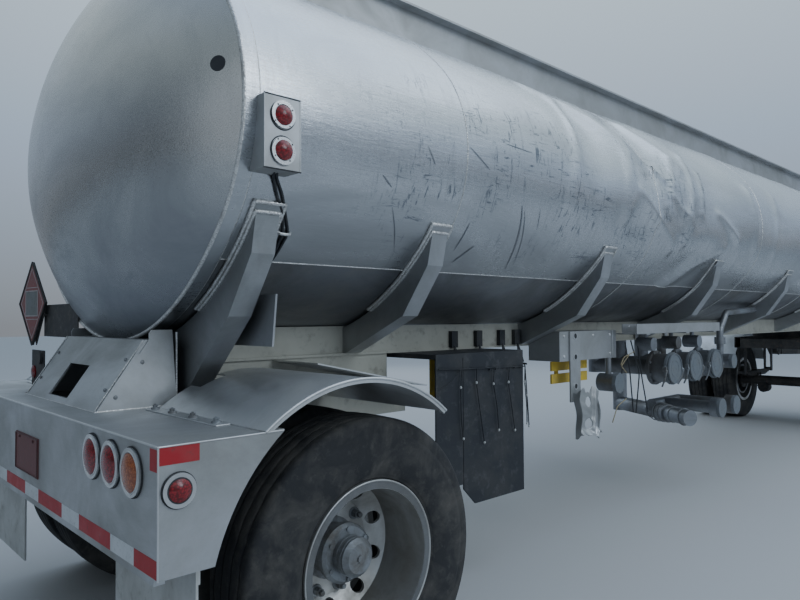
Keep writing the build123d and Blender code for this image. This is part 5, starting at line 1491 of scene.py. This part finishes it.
@dataclass
class ValveTrim:
    """Dress of the outlets: cap rings and levers, bolts, valve knobs and loose wires.

    Attributes:
        outlets: stations of the three big outlets.
        height: height of their middles.
        reach: how far the caps' seats are from the middle.
        air: stations of the three small valves under the tray.
        lever: a cam lever's way out, across and up from its cap's face.
        clamps: shares along the low pipe and radii of its rings.
        wires_dark: stations and heights of the dark wires.
        wires_tan: the same of the tan wires.
    """

    outlets: tuple[float, ...] = (4.060, 4.420, 4.810)
    height: float = 1.030
    reach: float = 0.780
    air: tuple[float, ...] = (3.846, 4.244, 4.614)
    lever: tuple[Triple, ...] = ((0.121, 0.020, 0.0), (0.136, -0.002, -0.008),
                                 (0.134, 0.020, -0.085), (0.128, 0.040, -0.125))
    clamps: Profile = ((0.50, 0.0640), (0.565, 0.0770), (0.62, 0.0785), (0.675, 0.0770),
                       (0.80, 0.0640), (0.93, 0.0655))
    wires_dark: tuple[Profile, ...] = (
        ((3.62, 1.23), (3.72, 1.02), (3.80, 0.72)), ((3.70, 1.24), (3.86, 1.00), (3.84, 0.71)),
        ((3.80, 1.20), (3.90, 0.95), (4.02, 0.70)), ((3.64, 1.18), (3.60, 1.00), (3.52, 0.96)))
    wires_tan: tuple[Profile, ...] = (
        ((3.66, 1.15), (3.52, 1.07), (3.58, 1.02)), ((3.72, 1.16), (3.56, 1.13), (3.50, 1.08)),
        ((3.60, 0.84), (3.46, 0.80), (3.38, 0.70)))

    def build(self) -> None:
        """Make every piece."""
        self.caps()
        self.flanges()
        self.air_valves()
        self.panel()
        TornBracket().build()
        self.wires()

    def caps(self) -> None:
        """Two raised rings and two cam levers on each big cap."""
        shape, levers = Shape(), Shape()
        face = -(self.reach + 0.034 + 0.0003)
        for station in self.outlets:
            x = at(station)
            for radius, rise in ((0.106, 0.005), (0.060, 0.0015)):
                ring = ((0.004, radius - 0.006), (-rise, radius - 0.004), (-rise, radius + 0.003),
                        (0.004, radius + 0.006))
                shape.lathe(ring, (x, face, self.height), "Y", 56, loop=True)
            for way in (-1, 1):
                path = [(x + way * out, face + across, self.height + up)
                        for out, across, up in self.lever]
                levers.tube(curve(*path, count=24), 0.0065, 8)
                levers.box((x + way * 0.112, face + 0.006, self.height - 0.018),
                           (x + way * 0.132, face + 0.034, self.height + 0.018))
                pin = (x + way * 0.122, face + 0.020)
                ends = [(*pin, self.height + up) for up in (-0.026, 0.026)]
                levers.tube(line(*ends), 0.005, 8)
        shape.make("cap_rings", ("cap_grey",), angle=30)
        levers.make("cap_levers", ("hub_steel",), angle=35)

    def flanges(self) -> None:
        """Bolt heads round each outlet's flange, coupling clamps and weld rings on the low pipe."""
        shape = Shape()
        foot, bolt = -(self.reach - 0.130) - 0.0225, band(0.0, -0.009, 0.001, 0.010)
        for station in self.outlets:
            for u, w in around(0.116, 8, 0.5):
                shape.lathe(bolt, (at(station) + u, foot, self.height + w), "Y", 6)
        start, end = np.array((at(5.070), 0.180, 0.605)), np.array((at(4.560), -0.700, 0.605))
        way = (end - start) / np.linalg.norm(end - start)
        turn = np.linspace(0, 2 * np.pi, 36, endpoint=False)[:, None]
        up = (0, 0, 1)
        side = np.cross(way, up)
        for share, radius in self.clamps:
            centre = start + (end - start) * share
            ring = centre + radius * (np.cos(turn) * side + np.sin(turn) * up)
            shape.tube(ring, 0.004, 6, closed=True)
        shape.make("pipe_bolts", ("hub_steel",), angle=35)

    def air_valves(self) -> None:
        """Knobs and collars of the three small valves under the tray."""
        shape = Shape()
        knob = ((-0.044, 0.024), (-0.056, 0.024), (-0.058, 0.012), (-0.070, 0.012), (-0.074, 0.004))
        for station in self.air:
            centre = (at(station), -0.655, 1.212)
            for start, radius in ((0.002, 0.0475), (0.026, 0.0475), (0.046, 0.042)):
                ring = band(-start, -start - 0.008, radius - 0.004, radius + 0.002)
                shape.lathe(ring, centre, "Y", 32, loop=True)
            shape.lathe(knob, centre, "Y", 20)
        shape.make("air_valve_trim", ("pipe_aluminium",), angle=30)

    def panel(self) -> None:
        """Bolts of the valve box, rings round the post's holes, an angle on the box's corner."""
        shape = Shape()
        for x, z in ((2.95, 1.285), (2.95, 1.155), (3.30, 1.285), (3.52, 1.285), (3.52, 1.155)):
            shape.ball((at(x), -0.601, z), (0.011, 0.005, 0.011))
        ring = ((0.0002, 0.016), (-0.004, 0.018), (-0.004, 0.022), (0.0002, 0.024))
        for z in POST_HOLES:
            shape.lathe(ring, (at(POST_STATION), -0.6105, z), "Y", 24, loop=True)
        for x in np.arange(3.60, 4.95, 0.15):
            shape.ball((at(x), -0.705, 1.340), (0.008, 0.004, 0.008))
        shape.make("panel_bolts", ("fender_aluminium",), angle=40)
        angle = Shape()
        angle.box((at(3.546), -0.6045, 1.123), (at(3.594), -0.6005, 1.318))
        angle.make("panel_angle", ("fender_aluminium",), bevel=0.0015)

    def wires(self) -> None:
        """Loose wires tied behind the caps and along the third arm; both ends of each are held."""
        dark, tan, pale = Shape(), Shape(), Shape()
        for shape, routes, depth, step, radius in (
                (dark, self.wires_dark, -0.66, 0.02, 0.0045),
                (tan, self.wires_tan, -0.675, -0.008, 0.0035)):
            for route in routes:
                points = [(at(u), depth + step * i, z) for i, (u, z) in enumerate(route)]
                shape.tube(curve(*points, count=30), radius, 6)
        edge = [FORM.skin(2.905 + 0.010 * math.sin(9 * z), FORM.angle_at(z), 0.016)
                for z in np.linspace(1.800, 1.420, 40)]
        pale.tube(np.array(edge), 0.004, 6)
        dark.make("valve_wires", ("black_rubber",), angle=80)
        tan.make("valve_wires_tan", ("wire_tan",), angle=80)
        pale.make("arm_wire", ("wire_white",), angle=80)


@dataclass
class TornBracket:
    """Drilled flat post and the torn channel with two holes that hangs from it.

    Attributes:
        post: station, Y and height of two corners of the post.
        start: station of the channel's rear edge.
        face: Y of the ends of its folded sides.
        width: width of its face.
        depth: depth of its folded sides.
        low: height of its torn lower end.
        high: height of its upper end.
        holes: heights of the two holes.
        hole_run: distance of the holes' middles from the rear edge.
        hole_radius: radius of the holes.
        reach: how near to a hole's edge points are drawn onto it.
        wall: thickness of the sheet.
        rows: points up the sheet.
        columns: points along its folded section.
    """

    post: tuple[Triple, ...] = ((3.007, -0.6103, 0.860), (3.125, -0.6003, 1.316))
    start: float = 3.040
    face: float = -0.612
    width: float = 0.220
    depth: float = 0.048
    low: float = 0.645
    high: float = 0.930
    holes: tuple[float, float] = (0.860, 0.720)
    hole_run: float = 0.085
    hole_radius: float = 0.034
    reach: float = 0.0030
    wall: float = 0.0045
    rows: int = 72
    columns: int = 80

    def build(self) -> None:
        """Make the post, black discs as painted shade in its holes, and the channel."""
        post, dark = Shape(), Shape()
        low, high = ((at(station), y, z) for station, y, z in self.post)
        post.box(low, high)
        thing = post.make("hanger_post", ("plate_aluminium",), bevel=0.001)
        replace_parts(thing, "hanger_brackets")
        # Black discs in the post's holes are painted shade; the post itself is a plain block
        hole = band(-0.0002, -0.0012, 0.001, 0.0165)
        for z in POST_HOLES:
            dark.lathe(hole, (at(POST_STATION), low[1], z), "Y", 24)
        dark.make("hanger_post_hole_shade", ("black_rubber",))
        sheet = Shape().add(*self.sheet())
        thing = sheet.make("torn_bracket", ("plate_aluminium",), angle=60, turn_out=False)
        wall = thing.modifiers.new("wall", "SOLIDIFY")
        wall.thickness = self.wall
        wall.offset = 0.0
        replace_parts(thing, "hanger_brackets")

    def sheet(self) -> tuple[Array, list[Array]]:
        """Points and faces of the crumpled channel.

        It is a grid: the run along the folded section gives X and Y, the other way is the height.
        Its ends are ragged by two waves each, and points near a hole's edge are drawn onto it. A
        bell-shaped ridge, three waves and a curl of the lower end push the face out and in, and
        the folded sides lean. Faces inside a hole are left out.

        Returns:
            The points, and the faces in a list.
        """
        share = np.linspace(0, 1, self.rows)[:, None]
        run = np.linspace(-self.depth, self.width + self.depth, self.columns)[None, :]
        across = np.clip(run, 0, self.width) + 0 * share
        back = np.clip(-run, 0, None) + np.clip(run - self.width, 0, None)
        bottom = self.low + 0.014 * np.sin(38 * run) + 0.010 * np.sin(71 * run + 1.0)
        top = self.high + 0.016 * np.sin(47 * run + 0.6) + 0.009 * np.sin(96 * run)
        height = bottom + (top - bottom) * share
        for z in self.holes:
            off_x, off_z = across - self.hole_run, height - z
            far = np.hypot(off_x, off_z)
            pull = np.where(np.abs(far - self.hole_radius) < self.reach,
                            self.hole_radius / np.maximum(far, 1e-6), 1.0)
            across, height = self.hole_run + off_x * pull, z + off_z * pull
        ridge = 0.020 * np.exp(-((across - 0.145 - 0.05 * (share - 0.5)) / 0.016) ** 2)
        waves = (0.006 * np.sin(26 * across + 7 * height)
                 + 0.0028 * np.sin(34 * height - 18 * across))
        curl = 0.030 * np.clip(1 - share * 7, 0, 1) ** 2
        push = ridge + waves + 0.0009 * np.sin(120 * height + 60 * across) + curl
        lean = 0.016 * np.sin(3.2 * share + 0.4) * (back > 1e-6)
        x = at(self.start) + across + 0.006 * np.sin(34 * height)
        y = self.face - self.depth + back - push * (back < 1e-6) - lean
        points = np.stack((x, y + 0 * height, height), -1)
        faces = quads(self.rows, self.columns)
        inside = np.zeros(len(faces), bool)
        for z in self.holes:
            far = np.hypot(across - self.hole_run, height - z).ravel()
            inside |= (far < self.hole_radius + 0.0002)[faces].all(1)
        return points, [faces[~inside]]


@dataclass
class FlapTrim:
    """Strap wires, the tie rope and the short cords that hang before the side flaps.

    Attributes:
        rope: station, Y and height along the tie rope.
        straps: stations of the straps.
        cords: stations and heights of the cords, from the rope down.
    """

    rope: tuple[Triple, ...] = (
        (1.70, -0.684, 1.150), (1.872, -0.684, 1.141), (2.183, -0.684, 1.134),
        (2.420, -0.684, 1.128), (2.584, -0.560, 1.124), (2.735, -0.425, 1.118))
    straps: tuple[float, ...] = (2.138, 2.360, 2.582, 2.735)
    cords: tuple[Profile, ...] = (
        ((1.872, 1.137), (1.862, 1.047), (1.865, 0.880), (1.880, 0.781)),
        ((1.992, 1.140), (1.987, 1.064), (2.010, 0.943), (2.049, 0.740)),
        ((2.139, 1.136), (2.129, 1.048), (2.162, 0.916), (2.173, 0.792)),
        ((2.272, 1.130), (2.262, 1.048), (2.291, 0.904), (2.317, 0.775)),
        ((2.416, 1.124), (2.433, 0.962), (2.449, 0.781)),
        ((2.533, 1.120), (2.527, 1.027), (2.546, 0.879), (2.547, 0.777)),
        ((2.699, 1.112), (2.695, 1.015), (2.647, 0.796)))

    def build(self) -> None:
        """Make the cords of the right side, each with its beads, and the straps' wires."""
        dark, beads = Shape(), Shape()
        rope = np.array(self.rope)
        dark.tube(line(*(rope - (REAR_SHIFT, 0, 0))), 0.0035, 6)
        for cord in self.cords:
            depth = float(np.interp(cord[0][0], rope[:, 0], rope[:, 1])) - 0.003
            points = [(at(u), depth, z) for u, z in cord]
            dark.tube(curve(*points, count=26), 0.0032, 6)
            for x, _, z in (points[1], points[-1]):
                beads.ball((x, depth, z), (0.006, 0.006, 0.008), 0, 8)
        for station in self.straps:
            depth = float(np.interp(station, rope[:, 0], rope[:, 1]))
            for lean in (-0.030, 0.022):
                path = ((0, -0.396, 1.245), (lean / 2, -0.412, 1.190), (lean, -0.420, 1.140),
                        (lean, depth, 1.126))
                points = [(at(station + u), y, z) for u, y, z in path]
                dark.tube(curve(*points, count=26), 0.0055, 6)
        y = self.rope[0][1]
        dark.tube(curve((at(1.872), y - 0.004, 1.141), (at(1.78), y - 0.004, 1.075),
                        (at(1.70), y - 0.002, 1.048), count=20), 0.0018, 6)
        dark.make("flap_cords", ("black_rubber",), angle=80)
        beads.make("flap_cord_beads", ("cord_bead",))


@dataclass
class RoofTrim:
    """Bolts and handles of the manhole lids, and the welds of their collars.

    Attributes:
        stations: stations of the three manholes.
        radius: radius of a collar.
        top: height of a lid.
    """

    stations: tuple[float, ...] = (2.100, 5.000, 7.900)
    radius: float = 0.255
    top: float = 3.030

    def build(self) -> None:
        """Dress each lid and collar."""
        collars = Shape()
        turn = np.linspace(0, 2 * np.pi, 60, endpoint=False)
        for index, station in enumerate(self.stations, 1):
            x = at(station)
            lid = Shape()
            for u, v in around(0.205, 8, 0.5):
                lid.lathe(((0.0, 0.010), (0.0065, 0.010), (0.0065, 0.004)),
                          (x + u, v, self.top + 0.0145), "Z", 6)
            handle = [(x + u, -0.16, self.top + up)
                      for u, up in ((-0.05, 0.012), (-0.05, 0.044), (0.05, 0.044), (0.05, 0.012))]
            lid.tube(curve(*handle, count=24), 0.006, 8)
            lid.make(f"lid_{index}_trim", ("hub_steel",), f"lid_{index}", angle=35)
            y = (self.radius + 0.002) * np.sin(turn)
            crown = FORM.crown
            height = FORM.middle + FORM.half_height - crown + np.sqrt(crown ** 2 - y ** 2)
            ring = np.stack((x + (self.radius + 0.002) * np.cos(turn), y, height + 0.002), -1)
            collars.tube(ring, 0.006, 8, closed=True)
        collars.make("collar_welds", ("weld_bead",), angle=80)


@dataclass
class AxleTrim:
    """U-bolts over the springs, with their nuts.

    Attributes:
        offset: distance of the springs from the middle.
    """

    offset: float = 0.440

    def build(self) -> None:
        """Make the bolts of both axles; the front ones ride on the dolly."""
        low = AXLE_HEIGHT - 0.085
        for name, station, body in (("rear", AXLE_REAR, "chassis"), ("front", AXLE_FRONT, "dolly")):
            shape = Shape()
            for side in Side:
                for along in (-0.052, 0.052):
                    for edge in (-0.046, 0.046):
                        x, y = at(station) + along, side.value * self.offset + edge
                        shape.tube(line((x, y, low), (x, y, AXLE_HEIGHT + 0.100)), 0.0075, 8)
                        shape.lathe(band(0.0, 0.012, 0.001, 0.014), (x, y, low + 0.002), "Z", 6)
            shape.make(f"{name}_u_bolts", ("black_steel",), body, angle=40)


@dataclass
class Studio:
    """Floor, soft lights, sky glow and the camera at the photograph's place.

    Attributes:
        eye: camera place in the part's frame.
        yaw: heading from +X towards +Y, degrees.
        pitch: upward tilt, degrees.
        roll: turn of the picture's right side down, degrees.
        lens: focal length on a 36 mm sensor.
    """

    eye: Triple = (-6.8686, -3.0205, 1.4097)
    yaw: float = 46.750
    pitch: float = 1.517
    roll: float = 0.314
    lens: float = 30.293

    def build(self) -> None:
        """Make all of it."""
        self.camera()
        self.floor()
        self.lights()
        self.sky()

    def camera(self) -> None:
        """Camera whose axes are the solved heading, tilt and roll."""
        yaw, pitch, roll = (math.radians(v) for v in (self.yaw, self.pitch, self.roll))
        level = math.cos(pitch)
        ahead = Vector((level * math.cos(yaw), level * math.sin(yaw), math.sin(pitch)))
        right = ahead.cross(Vector((0, 0, 1))).normalized()
        down = ahead.cross(right)
        turned = right * math.cos(roll) + down * math.sin(roll)
        low = down * math.cos(roll) - right * math.sin(roll)
        data = bpy.data.cameras.new("camera")
        data.lens = self.lens
        data.sensor_width = 36.0
        data.clip_end = 200.0
        thing = bpy.data.objects.new("camera", data)
        turn = Matrix((turned, -low, -ahead)).transposed().to_4x4()
        thing.matrix_world = Matrix.Translation(self.eye) @ turn
        bpy.context.scene.collection.objects.link(thing)
        bpy.context.scene.camera = thing

    def floor(self) -> None:
        """Large pale square floor."""
        mesh = bpy.data.meshes.new("floor")
        corners = [(60.0 * x, 60.0 * y, 0) for x, y in ((-1, -1), (1, -1), (1, 1), (-1, 1))]
        mesh.from_pydata(corners, [], [(0, 1, 2, 3)])
        thing = bpy.data.objects.new("floor", mesh)
        tree = Tree("floor_pale")
        tree.surface(Base_Color=paint((0.50, 0.50, 0.50)), Roughness=0.85)
        mesh.materials.append(tree.material)
        bpy.context.scene.collection.objects.link(thing)

    def lights(self) -> None:
        """A broad key on the right side, a weak fill, and soft light from above and behind."""
        for name, place, aim, size, power in (
                ("key", (-2.0, -11.0, 8.0), (-2.0, 0.0, 1.5), 7.0, 420.0),
                ("top", (0.0, -1.0, 11.0), (0.0, 0.0, 0.0), 14.0, 420.0),
                ("fill", (-12.0, -2.0, 3.0), (-4.0, 0.0, 1.5), 6.0, 25.0),
                ("back", (4.0, 11.0, 6.0), (0.0, 0.0, 1.5), 8.0, 150.0)):
            data = bpy.data.lights.new(name, "AREA")
            data.shape = "DISK"
            data.size = size
            data.energy = power
            data.color = (0.80, 0.90, 1.0)
            lamp = bpy.data.objects.new(name, data)
            lamp.location = place
            lamp.rotation_euler = (Vector(aim) - Vector(place)).to_track_quat("-Z", "Y").to_euler()
            bpy.context.scene.collection.objects.link(lamp)

    def sky(self) -> None:
        """Pale sky that is a little bluer overhead and dark towards the ground."""
        world = bpy.data.worlds.new("studio")
        bpy.context.scene.world = world
        world.use_nodes = True
        graph = Graph(world.node_tree)
        out, back, ramp = (graph.node(kind) for kind in ("OutputWorld", "Background", "ValToRGB"))
        split = graph.node("SeparateXYZ")
        graph.feed(split.inputs[0], graph.node("TexCoord").outputs["Generated"])
        half = graph.node("MapRange", From_Min=-1.0, Value=split.outputs["Z"])
        graph.feed(ramp.inputs[0], half.outputs[0])
        stops = ((0.0, (0.16, 0.17, 0.18)), (0.495, (0.26, 0.28, 0.31)), (0.52, (0.30, 0.34, 0.39)),
                 (0.62, (0.44, 0.55, 0.70)), (0.78, (0.76, 0.91, 1.0)), (1.0, (0.42, 0.60, 0.92)))
        elements = ramp.color_ramp.elements
        for index, (place, colour) in enumerate(stops):
            stop = elements[index] if index < 2 else elements.new(place)
            stop.position = place
            stop.color = paint(colour)
        side = graph.node("MapRange", From_Min=-0.9, From_Max=0.3, To_Min=0.27, To_Max=0.95,
                          Value=split.outputs["X"])
        graph.feed(back.inputs["Color"], ramp.outputs[0])
        graph.feed(back.inputs["Strength"], side.outputs[0])
        graph.feed(out.inputs[0], back.outputs[0])


def main() -> None:
    """Build the studio and every sub-assembly in order."""
    logging.basicConfig(level=logging.INFO, format="%(name)s %(message)s")
    Studio().build()
    dress_frame()
    for assembly in (TankSkin, CradleWelds, Wheels, RearBoxTrim, Lenses, ShellLampTrim, FenderTrim,
                     ValveTrim, FlapTrim, RoofTrim, AxleTrim):
        LOG.info("building %s", assembly.__name__)
        assembly().build()


if __name__ == "__main__":
    main()
